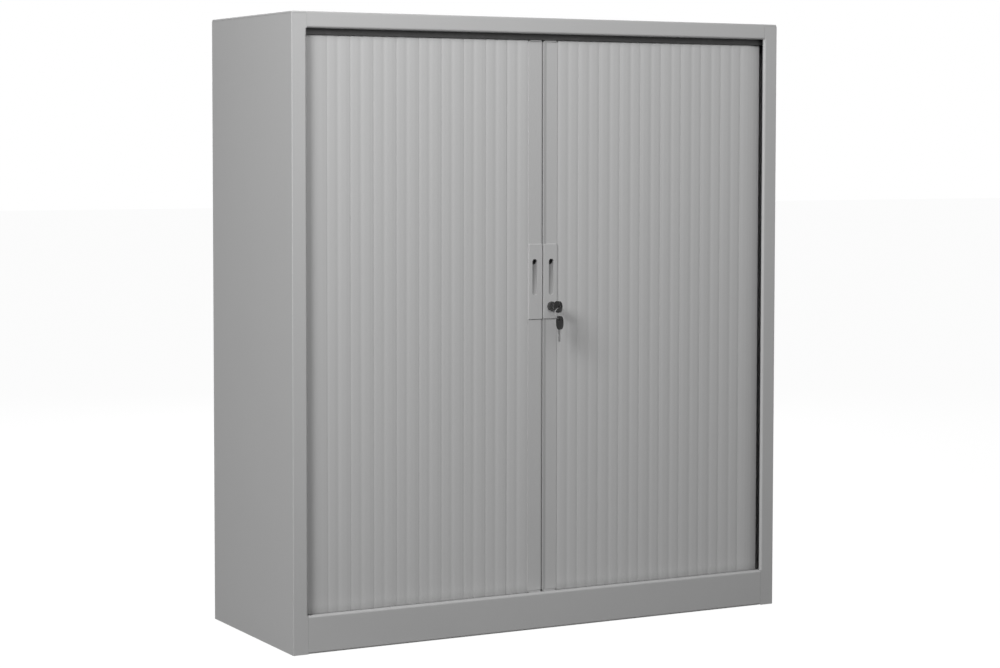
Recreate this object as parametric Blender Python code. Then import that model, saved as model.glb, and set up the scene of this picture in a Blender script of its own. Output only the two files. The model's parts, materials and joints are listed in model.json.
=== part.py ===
"""A side-opening tambour door cabinet of folded sheet steel, built piece by piece.

Units are metres and +Z is up. X runs to the right as seen from the front, and the front faces -Y.
The origin is at the floor, at the middle of the box that holds the cabinet and its keys.
Depths are counted backwards from the front plane of the steel frame.
"""
import math

import bmesh
import bpy
from mathutils import Matrix, Vector

# Outer sizes of the cabinet
WIDTH = 1.200
DEPTH = 0.440
HEIGHT = 1.330

# Sheet steel and fits
SHEET = 0.0012
SHELF_SHEET = 0.0010
FIT = 0.0003
OVERRUN = 0.002

# Frame round the door opening
JAMB_WIDTH = 0.034
RAIL_HEIGHT = 0.034
PLINTH_HEIGHT = 0.080
FLOOR_DROP = 0.0065
RAIL_DEPTH = 0.014
JAMB_RETURN = 0.0065
ROLL_RADIUS = 0.005
CORNER_RADIUS = 0.004
TOP_EDGE_RADIUS = 0.003
TOP_LIP = 0.004
SOFFIT_RISE = 0.008
BEND_RADIUS = 0.0018
BACK_FLANGE = 0.020
FLOOR_RETURN = 0.025

# Tambour curtains
SLATS_PER_DOOR = 20
SLATS_PER_PIECE = 2
LEAD_WIDTH = 0.0365
CURTAIN_EDGE = 0.0315
CURTAIN_DEPTH = 0.019
SLAT_THICKNESS = 0.0028
SLAT_CROWN = 0.0004
END_SLAT_TURN = math.radians(20)
STACK_STEP = 0.0065
STACK_CLEARANCE = 0.0024
BEHIND_STILE_CLEARANCE = 0.0004
SLAT_END_CLEARANCE = 0.0008

# Tracks
TRACK_WIDTH = 0.010
TRACK_WALL = 0.0015
TOP_TRACK_HEIGHT = 0.0205
BOTTOM_TRACK_HEIGHT = 0.0048
TRACK_FRONT_CLEARANCE = 0.0004
TRACK_BEND = 0.025
REAR_TRACK_RUN = 0.110

# Inside of the cabinet
SIDE_POCKET = 0.035
REAR_POCKET = 0.036
STACK_TO_SHELVES = 0.0067
LINER_FLANGE = 0.010
LINER_REAR_FLANGE = 0.015
INNER_BACK_FOLD = 0.008
SHELF_COUNT = 3
SHELF_FLANGE = 0.024
SHELF_RETURN = 0.012
BRACKET_SEAT = 0.016
BRACKET_LEG = 0.020
BRACKET_INSET = 0.003

# Levelling feet
FOOT_INSET = 0.060
FOOT_PAD_RADIUS = 0.016
FOOT_PAD_TOP_RADIUS = 0.011
FOOT_PAD_EDGE = 0.003
FOOT_PAD_HEIGHT = 0.007
FOOT_LIFT = 0.0005
SPINDLE_RADIUS = 0.005
SPINDLE_PROUD = 0.003
BOSS_RADIUS = 0.010
BOSS_HEIGHT = 0.018

# Lead stiles, with the caps and shoes that close and guide them
CENTRE_GAP = 0.001
STILE_DEPTH = 0.018
STILE_WALL = 0.0016
MEETING_RADIUS = 0.004
STILE_RADIUS = 0.002
CAP_HEIGHT = 0.003
CAP_CLEARANCE = 0.0015
CAP_PLUG_HEIGHT = 0.018
CAP_PLUG_CLEARANCE = 0.0006
SHOE_LENGTH = 0.028
SHOE_CLEARANCE = 0.0006
SHOE_HEIGHT_CLEARANCE = 0.0012
STOP_LENGTH = 0.012
STOP_CLEARANCE = 0.0004

# Moulded handles
HANDLE_BOTTOM = 0.6775
HANDLE_HEIGHT = 0.164
HANDLE_MARGIN = 0.0006
HANDLE_THICKNESS = 0.0037
HANDLE_RADIUS = 0.003
HANDLE_EDGE = 0.0012
GRIP_OFFSET = 0.0205
GRIP_WIDTH = 0.012
GRIP_HEIGHT = 0.079
GRIP_RISE = 0.0525
GRIP_SHALLOW_DEPTH = 0.0045
GRIP_SLOPE_DEPTH = 0.0075
GRIP_POCKET_DEPTH = 0.0135
CUP_WALL = 0.0024

# Lock, in the right handle below its grip
LOCK_RISE = 0.028
BEZEL_RADIUS = 0.010
BEZEL_HEIGHT = 0.0037
BEZEL_EDGE = 0.0012
BARREL_RADIUS = 0.008
BARREL_LENGTH = 0.016
PLUG_RADIUS = 0.0055
PLUG_SINK = 0.0005
TAIL_RADIUS = 0.0035
HOOK_THICKNESS = 0.0025
HOOK_REACH = 0.0288
HOOK_HALF_WIDTH = 0.0045
HOOK_HUB_RADIUS = 0.007
FINGER_WIDTH = 0.004
FINGER_LENGTH = 0.0055
HOOK_SLOT_CLEARANCE = 0.0006
HOOK_SWEEP_CLEARANCE = 0.0015
STRIKE_SHEET = 0.0015
STRIKE_MARGIN = 0.010

# Keys and their ring
KEY_NECK = 0.010
KEY_NECK_WIDTH = 0.010
KEY_NECK_THICKNESS = 0.0034
BOW_LENGTH = 0.030
BOW_WIDTH = 0.025
BOW_THICKNESS = 0.0045
BOW_RADIUS = 0.0115
BOW_HOLE_RADIUS = 0.003
BOW_HOLE_INSET = 0.008
BLADE_LENGTH = 0.017
BLADE_WIDTH = 0.0072
BLADE_THICKNESS = 0.002
KEYWAY_CLEARANCE = 0.0003
RING_RADIUS = 0.012
RING_WIRE_RADIUS = 0.0008
RING_SEAT = 0.0006

# Smoothness of round shapes
BEND_STEPS = 5
TRACK_BEND_STEPS = 8
CORNER_STEPS = 4
CROWN_STEPS = 6
TURN_STEPS = 28
WIRE_STEPS = 8

# Sizes and places that follow from the values above
HALF_WIDTH = WIDTH / 2
HALF_SHEET = SHEET / 2
HOOK_GAP = FIT + FIT
LOCK_FACE_DEPTH = CURTAIN_DEPTH - FIT - HANDLE_THICKNESS - FIT - BEZEL_HEIGHT
KEY_PROUD = KEY_NECK + BOW_LENGTH - LOCK_FACE_DEPTH
BOW_HOLE_PROUD = KEY_PROUD - BOW_HOLE_INSET
KEYS_PROUD = max(KEY_PROUD, BOW_HOLE_PROUD + BOW_WIDTH / 2)
FRONT = (KEYS_PROUD - DEPTH) / 2
BACK = FRONT + DEPTH
OPENING_HALF = HALF_WIDTH - JAMB_WIDTH
SIDE_TOP = HEIGHT - TOP_LIP - FIT
SLAT_PITCH = (HALF_WIDTH - CURTAIN_EDGE - LEAD_WIDTH) / SLATS_PER_DOOR
PIECE_PITCH = SLAT_PITCH * SLATS_PER_PIECE
PIECES_PER_DOOR = SLATS_PER_DOOR // SLATS_PER_PIECE
DOOR_TRAVEL = HALF_WIDTH - SHEET - STACK_CLEARANCE - LEAD_WIDTH - PIECE_PITCH
FIRST_STEP = STILE_DEPTH + BEHIND_STILE_CLEARANCE
STACK_DEPTH = FIRST_STEP + STACK_STEP * (PIECES_PER_DOOR - 2) + SLAT_THICKNESS

SOFFIT = HEIGHT - RAIL_HEIGHT + SOFFIT_RISE
FLOOR = PLINTH_HEIGHT - FLOOR_DROP
TOP_TRACK_TOP = SOFFIT - FIT
TOP_TRACK_BOTTOM = TOP_TRACK_TOP - TOP_TRACK_HEIGHT
BOTTOM_TRACK_BOTTOM = FLOOR + FIT
BOTTOM_TRACK_TOP = BOTTOM_TRACK_BOTTOM + BOTTOM_TRACK_HEIGHT
SLAT_BOTTOM = BOTTOM_TRACK_TOP + SLAT_END_CLEARANCE
SLAT_TOP = TOP_TRACK_BOTTOM - SLAT_END_CLEARANCE

RISER_DEPTH = RAIL_DEPTH + FIT + HALF_SHEET
TRACK_DEPTH = RISER_DEPTH + HALF_SHEET + TRACK_FRONT_CLEARANCE + TRACK_WIDTH / 2
LINER_HALF = HALF_WIDTH - SIDE_POCKET
LINER_FRONT_DEPTH = CURTAIN_DEPTH + STACK_DEPTH + STACK_TO_SHELVES
INNER_BACK_DEPTH = DEPTH - REAR_POCKET
SIDE_TRACK_HALF = (LINER_HALF + SHEET + HALF_WIDTH - SHEET) / 2
REAR_TRACK_DEPTH = (INNER_BACK_DEPTH + SHEET + DEPTH - SHEET) / 2
SHELF_FRONT_DEPTH = LINER_FRONT_DEPTH + SHEET + FIT
SHELF_REAR_DEPTH = INNER_BACK_DEPTH - SHEET - FIT - BEND_RADIUS
BAY_PITCH = (SOFFIT - FLOOR + SHELF_SHEET) / (SHELF_COUNT + 1)

STILE_BOTTOM = BOTTOM_TRACK_TOP + CAP_CLEARANCE + CAP_HEIGHT + FIT
STILE_TOP = TOP_TRACK_BOTTOM - CAP_CLEARANCE - CAP_HEIGHT - FIT
STILE_INNER = CENTRE_GAP / 2
STILE_OUTER = LEAD_WIDTH - FIT
STILE_BACK_DEPTH = CURTAIN_DEPTH + STILE_DEPTH
GRIP_BOTTOM = HANDLE_BOTTOM + GRIP_RISE
GRIP_TOP = GRIP_BOTTOM + GRIP_HEIGHT
HANDLE_FACE_DEPTH = CURTAIN_DEPTH - FIT - HANDLE_THICKNESS

LOCK_HEIGHT = HANDLE_BOTTOM + LOCK_RISE
LOCK_AXIS = Vector((GRIP_OFFSET, FRONT + LOCK_FACE_DEPTH, LOCK_HEIGHT))
BARREL_END_DEPTH = HANDLE_FACE_DEPTH + BARREL_LENGTH
HOOK_DEPTH = BARREL_END_DEPTH + HOOK_GAP
STRIKE_HALF = STILE_INNER + STILE_WALL + FIT
RING_DROP = BOW_HOLE_RADIUS - RING_WIRE_RADIUS - RING_SEAT
RING_AXIS = Vector((GRIP_OFFSET, FRONT - BOW_HOLE_PROUD, LOCK_HEIGHT - RING_DROP))
SPARE_KEY_AXIS = RING_AXIS - Vector((0, 0, 2 * RING_RADIUS))

# Colours of the finishes
PAINT_GREY = (0.56, 0.56, 0.555)
SLAT_GREY = (0.57, 0.57, 0.565)
HANDLE_GREY = (0.55, 0.55, 0.545)
INNER_GREY = (0.50, 0.50, 0.495)
TRACK_BLACK = (0.018, 0.018, 0.018)
LOCK_BLACK = (0.012, 0.012, 0.012)
BARE_STEEL = (0.62, 0.62, 0.60)
FOOT_BLACK = (0.025, 0.025, 0.025)


def clear_scene():
    for item in list(bpy.data.objects):
        bpy.data.objects.remove(item, do_unlink=True)


def make_finish(name, colour, roughness, metallic=0.0):
    material = bpy.data.materials.new(name)
    material.use_nodes = True
    surface = material.node_tree.nodes["Principled BSDF"]
    surface.inputs["Base Color"].default_value = (*colour, 1)
    surface.inputs["Roughness"].default_value = roughness
    surface.inputs["Metallic"].default_value = metallic
    material.diffuse_color = (*colour, 1)
    return material


def at_depth(depth):
    """The Y of a place this far behind the front plane."""
    return FRONT + depth


def plan(a, b, height):
    """An outline in X and Y, extruded upwards."""
    return Vector((a, b, height))


def section(a, b, across):
    """An outline in Y and Z, extruded along X."""
    return Vector((across, a, b))


def elevation(a, b, depth):
    """An outline in X and Z, extruded backwards."""
    return Vector((a, depth, b))


def sided(outline, side):
    """The same outline on the right, at 1, or mirrored to the left, at -1."""
    return [(side * a, b) for a, b in outline]


def left_of(direction):
    return Vector((-direction.y, direction.x))


def bent_path(corners, radii, steps=BEND_STEPS):
    """Points along a path with round bends, each with the direction to its left."""
    corners = [Vector(corner) for corner in corners]
    ahead = (corners[1] - corners[0]).normalized()
    stations = [(corners[0], left_of(ahead))]
    for before, corner, after, radius in zip(corners, corners[1:], corners[2:], radii):
        into = (corner - before).normalized()
        out = (after - corner).normalized()
        turn = math.atan2(into.x * out.y - into.y * out.x, into.dot(out))
        hand = math.copysign(1, turn)
        start = corner - into * radius * math.tan(abs(turn) / 2)
        centre = start + left_of(into) * hand * radius
        for step in range(steps + 1):
            left = Matrix.Rotation(turn * step / steps, 2) @ left_of(into)
            stations.append((centre - left * hand * radius, left))
    ahead = (corners[-1] - corners[-2]).normalized()
    stations.append((corners[-1], left_of(ahead)))
    return stations


def strip_outline(corners, radii, thickness, steps=BEND_STEPS):
    """The outline of a sheet of this thickness that follows a bent middle line."""
    stations = bent_path(corners, radii, steps)
    left = [point + normal * thickness / 2 for point, normal in stations]
    right = [point - normal * thickness / 2 for point, normal in stations]
    return [tuple(point) for point in left + right[::-1]]


def rounded_rectangle(low, high, radii, steps=CORNER_STEPS):
    """A rectangle whose corners, from low-low round by high-low, have these radii."""
    corners = [(low[0], low[1]), (high[0], low[1]), (high[0], high[1]), (low[0], high[1])]
    outline = []
    for index, ((a, b), radius) in enumerate(zip(corners, radii)):
        inward_a = 1 if index in (0, 3) else -1
        inward_b = 1 if index in (0, 1) else -1
        start = math.pi + index * math.pi / 2
        for step in range(steps + 1):
            angle = start + step * math.pi / 2 / steps
            outline.append((
                a + inward_a * radius + radius * math.cos(angle),
                b + inward_b * radius + radius * math.sin(angle),
            ))
    return outline


def circle_outline(centre, radius, steps=TURN_STEPS):
    angles = [2 * math.pi * step / steps for step in range(steps)]
    return [(centre[0] + radius * math.cos(a), centre[1] + radius * math.sin(a)) for a in angles]


def new_object(name, mesh, finish=None):
    item = bpy.data.objects.new(name, mesh)
    bpy.context.scene.collection.objects.link(item)
    if finish:
        mesh.materials.append(finish)
    return item


def mesh_from(shape, name):
    bmesh.ops.recalc_face_normals(shape, faces=shape.faces)
    mesh = bpy.data.meshes.new(name)
    shape.to_mesh(mesh)
    shape.free()
    return mesh


def prism_mesh(name, outline, plane, low, high):
    shape = bmesh.new()
    corners = [shape.verts.new(plane(a, b, low)) for a, b in outline]
    face = shape.faces.new(corners)
    grown = bmesh.ops.extrude_face_region(shape, geom=[face])
    moved = [item for item in grown["geom"] if isinstance(item, bmesh.types.BMVert)]
    bmesh.ops.translate(shape, verts=moved, vec=plane(0, 0, high - low))
    return mesh_from(shape, name)


def prism(name, outline, plane, low, high, finish=None):
    return new_object(name, prism_mesh(name, outline, plane, low, high), finish)


def block(name, low, high, finish=None):
    outline = [(low[0], low[1]), (high[0], low[1]), (high[0], high[1]), (low[0], high[1])]
    return prism(name, outline, plan, low[2], high[2], finish)


def turned(name, profile, axis, closed, finish=None, steps=TURN_STEPS):
    """A profile of (radius, place along the axis) turned about Y or Z through the origin."""
    shape = bmesh.new()
    along_z = axis == "Z"
    points = [shape.verts.new((r, 0, t) if along_z else (r, t, 0)) for r, t in profile]
    for first, second in zip(points, points[1:] + points[:1] * closed):
        shape.edges.new((first, second))
    bmesh.ops.spin(
        shape, geom=shape.verts[:] + shape.edges[:], cent=(0, 0, 0),
        axis=(0, 0, 1) if along_z else (0, 1, 0), angle=2 * math.pi, steps=steps, use_merge=True,
    )
    bmesh.ops.remove_doubles(shape, verts=shape.verts, dist=FIT / 100)
    return new_object(name, mesh_from(shape, name), finish)


def combine(item, other, operation):
    other.hide_render = True
    other.display_type = "WIRE"
    modifier = item.modifiers.new(other.name, "BOOLEAN")
    modifier.operation = operation
    modifier.object = other


def weld_on(item, *others):
    for other in others:
        combine(item, other, "UNION")


def cut(item, *cutters):
    for cutter in cutters:
        combine(item, cutter, "DIFFERENCE")


def round_at(item, height, radius):
    """Rounds the edges that lie at this height."""
    shape = bmesh.new()
    shape.from_mesh(item.data)
    edges = [edge for edge in shape.edges if all(abs(point.co.z - height) < FIT for point in edge.verts)]
    bmesh.ops.bevel(shape, geom=edges, offset=radius, segments=CORNER_STEPS, profile=0.5, affect="EDGES")
    shape.to_mesh(item.data)
    shape.free()


def smooth(item):
    item.data.shade_smooth()
    item.data.set_sharp_from_angle(angle=math.radians(30))


def carry(item, carrier):
    """Puts a piece that was modelled in place under its carrier, with its own origin at the carrier's."""
    offset = item.location - carrier.location
    item.data.transform(Matrix.Translation(offset))
    item.location = (0, 0, 0)
    item.parent = carrier


def make_carrier(name, place):
    """An empty at a moving group's own reference point."""
    carrier = bpy.data.objects.new(name, None)
    carrier.location = place
    carrier.empty_display_size = LEAD_WIDTH
    bpy.context.scene.collection.objects.link(carrier)
    return carrier


def side_name(side):
    return "right" if side > 0 else "left"


def jamb_ends(word, side):
    """Cutters for the rolled edge beside the plinth and the rail, and the flat tabs that stay there."""
    inner = side * OPENING_HALF
    notch_x = sorted((inner - side * OVERRUN, inner + side * ROLL_RADIUS))
    tab_x = sorted((inner, inner + side * (ROLL_RADIUS + SHEET)))
    notches, tabs = [], []
    for end, low, high in (("lower", -OVERRUN, PLINTH_HEIGHT), ("upper", HEIGHT - RAIL_HEIGHT, HEIGHT)):
        notches.append(block(f"{word}_{end}_notch", (notch_x[0], FRONT - OVERRUN, low),
                             (notch_x[1], at_depth(JAMB_RETURN + OVERRUN), high)))
        tabs.append(block(f"{word}_{end}_tab", (tab_x[0], FRONT, max(low, 0)),
                          (tab_x[1], at_depth(SHEET), min(high, SIDE_TOP))))
    return notches, tabs


def make_side_panel(side, paint):
    """A folded C: the jamb with its rolled inner edge between rail and plinth, the side and the rear flange."""
    jamb_edge = OPENING_HALF + HALF_SHEET
    outer = HALF_WIDTH - HALF_SHEET
    corners = [
        (jamb_edge, at_depth(JAMB_RETURN)),
        (jamb_edge, at_depth(HALF_SHEET)),
        (outer, at_depth(HALF_SHEET)),
        (outer, at_depth(DEPTH - HALF_SHEET)),
        (HALF_WIDTH - BACK_FLANGE, at_depth(DEPTH - HALF_SHEET)),
    ]
    radii = [ROLL_RADIUS - HALF_SHEET, CORNER_RADIUS - HALF_SHEET, CORNER_RADIUS - HALF_SHEET]
    outline = sided(strip_outline(corners, radii, SHEET), side)
    word = side_name(side)
    panel = prism(f"{word}_side_panel", outline, plan, 0, SIDE_TOP, paint)
    notches, tabs = jamb_ends(word, side)
    cut(panel, *notches)
    weld_on(panel, *tabs)
    smooth(panel)


def top_outline(inset):
    corner = max(CORNER_RADIUS - inset, FIT)
    low = (inset - HALF_WIDTH, FRONT + inset)
    high = (HALF_WIDTH - inset, BACK - inset)
    return rounded_rectangle(low, high, [corner] * 4)


def make_top_panel(paint):
    """The top sheet with its lip, the front rail, and the soffit that carries the top track."""
    panel = prism("top_panel", top_outline(0), plan, HEIGHT - TOP_LIP, HEIGHT, paint)
    round_at(panel, HEIGHT, TOP_EDGE_RADIUS)
    hollow = prism("top_hollow", top_outline(SHEET), plan, HEIGHT - TOP_LIP - OVERRUN, HEIGHT - SHEET)
    round_at(hollow, HEIGHT - SHEET, TOP_EDGE_RADIUS - SHEET)
    cut(panel, hollow)
    under = HEIGHT - HALF_SHEET
    rail_end = OPENING_HALF - FIT
    rail_bottom = HEIGHT - RAIL_HEIGHT + HALF_SHEET
    soffit_middle = SOFFIT + HALF_SHEET
    rail = [
        (at_depth(HALF_SHEET), HEIGHT - TOP_EDGE_RADIUS),
        (at_depth(HALF_SHEET), rail_bottom),
        (at_depth(RISER_DEPTH), rail_bottom),
        (at_depth(RISER_DEPTH), soffit_middle),
    ]
    rail_radii = [ROLL_RADIUS - HALF_SHEET, BEND_RADIUS]
    rail_front = prism("rail_front", strip_outline(rail, rail_radii, SHEET), section, -rail_end, rail_end)
    box = [
        (at_depth(RISER_DEPTH), under),
        (at_depth(RISER_DEPTH), soffit_middle),
        (at_depth(DEPTH - SHEET - FIT - HALF_SHEET), soffit_middle),
        (at_depth(DEPTH - SHEET - FIT - HALF_SHEET), under),
    ]
    box_end = HALF_WIDTH - CORNER_RADIUS
    box_radii = [HALF_SHEET, HALF_SHEET]
    soffit = prism("soffit", strip_outline(box, box_radii, SHEET, 1), section, -box_end, box_end)
    weld_on(panel, rail_front, soffit)


def make_base_panel(paint):
    """The plinth with its rolled top edge, the floor a step below it, the rear leg and the feet's bosses."""
    floor_middle = FLOOR - HALF_SHEET
    ledge_middle = PLINTH_HEIGHT - HALF_SHEET
    rear = at_depth(DEPTH - SHEET - FIT - HALF_SHEET)
    floor_end = HALF_WIDTH - CORNER_RADIUS
    floor = [
        (rear - FLOOR_RETURN, HALF_SHEET),
        (rear, HALF_SHEET),
        (rear, floor_middle),
        (at_depth(RISER_DEPTH), floor_middle),
    ]
    radii = [BEND_RADIUS, BEND_RADIUS]
    panel = prism("base_panel", strip_outline(floor, radii, SHEET), section, -floor_end, floor_end, paint)
    plinth = [
        (at_depth(FLOOR_RETURN), HALF_SHEET),
        (at_depth(HALF_SHEET), HALF_SHEET),
        (at_depth(HALF_SHEET), ledge_middle),
        (at_depth(RISER_DEPTH), ledge_middle),
        (at_depth(RISER_DEPTH), FLOOR - SHEET),
    ]
    plinth_radii = [ROLL_RADIUS - HALF_SHEET, ROLL_RADIUS - HALF_SHEET, BEND_RADIUS]
    plinth_end = OPENING_HALF - FIT
    front = prism("plinth_front", strip_outline(plinth, plinth_radii, SHEET), section, -plinth_end, plinth_end)
    weld_on(panel, front)
    for name, centre in foot_places():
        boss = prism(f"boss_{name}", circle_outline(centre, BOSS_RADIUS), plan,
                     FLOOR - BOSS_HEIGHT, floor_middle)
        bore = prism(f"bore_{name}", circle_outline(centre, SPINDLE_RADIUS + FIT), plan,
                     FLOOR - BOSS_HEIGHT - OVERRUN, FLOOR + OVERRUN)
        weld_on(panel, boss)
        cut(panel, bore)


def foot_places():
    """The four feet by name, with the X and Y of each."""
    across = HALF_WIDTH - FOOT_INSET
    front = at_depth(FOOT_INSET)
    rear = at_depth(DEPTH - FOOT_INSET)
    return [
        ("front_left", (-across, front)),
        ("front_right", (across, front)),
        ("rear_left", (-across, rear)),
        ("rear_right", (across, rear)),
    ]


def make_back_panel(paint):
    half = HALF_WIDTH - BACK_FLANGE - FIT
    block("back_panel", (-half, at_depth(DEPTH - SHEET), FIT), (half, BACK, SIDE_TOP), paint)


def make_inner_back_panel(paint):
    half = LINER_HALF + HALF_SHEET
    middle = at_depth(INNER_BACK_DEPTH + HALF_SHEET)
    fold = at_depth(INNER_BACK_DEPTH + INNER_BACK_FOLD)
    corners = [(half, fold), (half, middle), (-half, middle), (-half, fold)]
    outline = strip_outline(corners, [BEND_RADIUS] * 2, SHEET)
    prism("inner_back_panel", outline, plan, FLOOR + FIT, SOFFIT - FIT, paint)


def make_liner(side, paint):
    """The wall between the shelves and the pocket that the curtain slides into."""
    wall = LINER_HALF + HALF_SHEET
    front = at_depth(LINER_FRONT_DEPTH + HALF_SHEET)
    rear = at_depth(INNER_BACK_DEPTH - FIT - HALF_SHEET)
    corners = [
        (LINER_HALF + LINER_FLANGE, front),
        (wall, front),
        (wall, rear),
        (LINER_HALF - LINER_REAR_FLANGE, rear),
    ]
    outline = sided(strip_outline(corners, [BEND_RADIUS] * 2, SHEET), side)
    prism(f"{side_name(side)}_liner", outline, plan, FLOOR + FIT, SOFFIT - FIT, paint)


def track_path(overrun=0.0):
    """The middle line of both tracks: behind the inner back, round each side and across the front."""
    run_end = SIDE_TRACK_HALF - TRACK_BEND - REAR_TRACK_RUN
    right = [
        (run_end - overrun, at_depth(REAR_TRACK_DEPTH)),
        (SIDE_TRACK_HALF, at_depth(REAR_TRACK_DEPTH)),
        (SIDE_TRACK_HALF, at_depth(TRACK_DEPTH)),
    ]
    return right + sided(right, -1)[::-1]


def make_track(name, low, high, groove_low, groove_high, finish):
    radii = [TRACK_BEND] * 4
    body = strip_outline(track_path(), radii, TRACK_WIDTH, TRACK_BEND_STEPS)
    groove_width = TRACK_WIDTH - 2 * TRACK_WALL
    groove = strip_outline(track_path(OVERRUN), radii, groove_width, TRACK_BEND_STEPS)
    track = prism(name, body, plan, low, high, finish)
    cut(track, prism(f"{name}_groove", groove, plan, groove_low, groove_high))


def make_tracks(black, grey):
    make_track("top_track", TOP_TRACK_BOTTOM, TOP_TRACK_TOP,
               TOP_TRACK_BOTTOM - OVERRUN, TOP_TRACK_TOP - TRACK_WALL, black)
    make_track("bottom_track", BOTTOM_TRACK_BOTTOM, BOTTOM_TRACK_TOP,
               BOTTOM_TRACK_BOTTOM + TRACK_WALL, BOTTOM_TRACK_TOP + OVERRUN, grey)


def groove_depths():
    """Front and rear faces of what runs in a track's groove."""
    half = TRACK_WIDTH / 2 - TRACK_WALL - SHOE_CLEARANCE
    return at_depth(TRACK_DEPTH - half), at_depth(TRACK_DEPTH + half)


def shoe_ends():
    middle = (STILE_INNER + STILE_OUTER) / 2
    return middle - SHOE_LENGTH / 2, middle + SHOE_LENGTH / 2


def make_door_stop(side, rubber):
    """A buffer in the top groove, where the lead shoe ends its run."""
    front, rear = groove_depths()
    inner = shoe_ends()[1] + DOOR_TRAVEL + STOP_CLEARANCE
    outer = inner + STOP_LENGTH
    low, high = sorted((side * inner, side * outer))
    top = TOP_TRACK_TOP - TRACK_WALL - FIT
    bottom = TOP_TRACK_BOTTOM + TRACK_WALL
    block(f"{side_name(side)}_door_stop", (low, front, bottom), (high, rear, top), rubber)


def shelf_tops():
    return [FLOOR + BAY_PITCH * (index + 1) for index in range(SHELF_COUNT)]


def make_shelf(number, top, paint):
    half_sheet = SHELF_SHEET / 2
    front = at_depth(SHELF_FRONT_DEPTH + half_sheet)
    rear = at_depth(SHELF_REAR_DEPTH - half_sheet)
    deck = top - half_sheet
    foot = top - SHELF_FLANGE
    corners = [(front + SHELF_RETURN, foot), (front, foot), (front, deck), (rear, deck), (rear, foot)]
    outline = strip_outline(corners, [BEND_RADIUS] * 3, SHELF_SHEET)
    half = LINER_HALF - FIT
    prism(f"shelf_{number}", outline, section, -half, half, paint)


def make_shelf_bracket(number, top, side, finish):
    """An angle that hooks into the liner and carries one end of a shelf from front to back."""
    wall = LINER_HALF - FIT - HALF_SHEET
    seat = top - SHELF_SHEET - FIT - HALF_SHEET
    corners = [(wall, seat - BRACKET_LEG), (wall, seat), (wall - BRACKET_SEAT, seat)]
    outline = sided(strip_outline(corners, [BEND_RADIUS], SHEET), side)
    inset = SHELF_RETURN + BRACKET_INSET
    prism(f"shelf_bracket_{number}_{side_name(side)}", outline, elevation,
          at_depth(SHELF_FRONT_DEPTH + inset), at_depth(SHELF_REAR_DEPTH - inset), finish)


def make_foot(name, centre, finish):
    """A levelling foot: a round pad on a screwed spindle that is turned from inside the cabinet."""
    pad_top = FOOT_LIFT + FOOT_PAD_HEIGHT
    top = FLOOR + SPINDLE_PROUD
    profile = [
        (0, FOOT_LIFT),
        (FOOT_PAD_RADIUS, FOOT_LIFT),
        (FOOT_PAD_RADIUS, FOOT_LIFT + FOOT_PAD_EDGE),
        (FOOT_PAD_TOP_RADIUS, pad_top),
        (SPINDLE_RADIUS, pad_top),
        (SPINDLE_RADIUS, top),
        (0, top),
    ]
    foot = turned(f"levelling_foot_{name}", profile, "Z", False, finish)
    foot.location = (*centre, 0)
    smooth(foot)


def slat_front(start, pitch, length):
    """Front face of one slat, slightly crowned, as (across, depth) from its inner edge."""
    middle = pitch / 2
    points = []
    for step in range(CROWN_STEPS + 1):
        along = length * step / CROWN_STEPS
        points.append((start + along, SLAT_CROWN * ((along - middle) / middle) ** 2))
    return points


def turned_points(points, pivot, angle):
    spin = Matrix.Rotation(angle, 2)
    return [tuple(Vector(pivot) + spin @ (Vector(point) - Vector(pivot))) for point in points]


def scarf_step(number):
    """How far back the next piece slides behind this one."""
    return FIRST_STEP if number == 1 else STACK_STEP


def slat_piece_outline(number):
    """Two slats side by side in plan, with long scarfs along which neighbours slide past each other.

    A scarf lies along the straight line that the next piece takes behind this one as the door opens.
    """
    inner_back = 0
    if number > 1:
        inner_back = (SLAT_CROWN - SLAT_THICKNESS) * PIECE_PITCH / scarf_step(number - 1)
    outline = [(inner_back, SLAT_THICKNESS)] + slat_front(0, SLAT_PITCH, SLAT_PITCH)
    if number < PIECES_PER_DOOR:
        step = scarf_step(number)
        scarf_gap = FIT / math.sin(math.atan2(step, PIECE_PITCH))
        outline += slat_front(SLAT_PITCH, SLAT_PITCH, SLAT_PITCH - scarf_gap)[1:]
        edge = outline[-1]
        scarf_run = (SLAT_THICKNESS - edge[1]) * PIECE_PITCH / step
        outline.append((edge[0] - scarf_run, SLAT_THICKNESS))
        return outline
    pivot = (SLAT_PITCH, SLAT_CROWN)
    end_slat = slat_front(SLAT_PITCH, SLAT_PITCH, SLAT_PITCH)[1:]
    end_slat.append((PIECE_PITCH, SLAT_THICKNESS))
    outline += turned_points(end_slat, pivot, END_SLAT_TURN)
    inside = (SLAT_THICKNESS - SLAT_CROWN) * math.tan(END_SLAT_TURN / 2)
    outline.append((SLAT_PITCH - inside, SLAT_THICKNESS))
    return outline


def make_slats(side, plastic, door):
    """The slats of one door, two to a piece, from the lead stile out to the jamb."""
    height = SLAT_TOP - SLAT_BOTTOM
    mesh = None
    for number in range(1, PIECES_PER_DOOR + 1):
        name = f"{side_name(side)}_slats_{number:02d}"
        like_the_last = 3 < number < PIECES_PER_DOOR
        if not like_the_last:
            outline = sided(slat_piece_outline(number), side)
            mesh = prism_mesh(name, outline, plan, 0, height)
            mesh.materials.append(plastic)
            mesh.shade_smooth()
            mesh.set_sharp_from_angle(angle=math.radians(10))
        item = bpy.data.objects.new(name, mesh)
        bpy.context.scene.collection.objects.link(item)
        across = side * (LEAD_WIDTH + PIECE_PITCH * (number - 1))
        item.location = (across, at_depth(CURTAIN_DEPTH), SLAT_BOTTOM)
        if number == 1:
            item.parent = door
            item.location -= door.location


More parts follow.
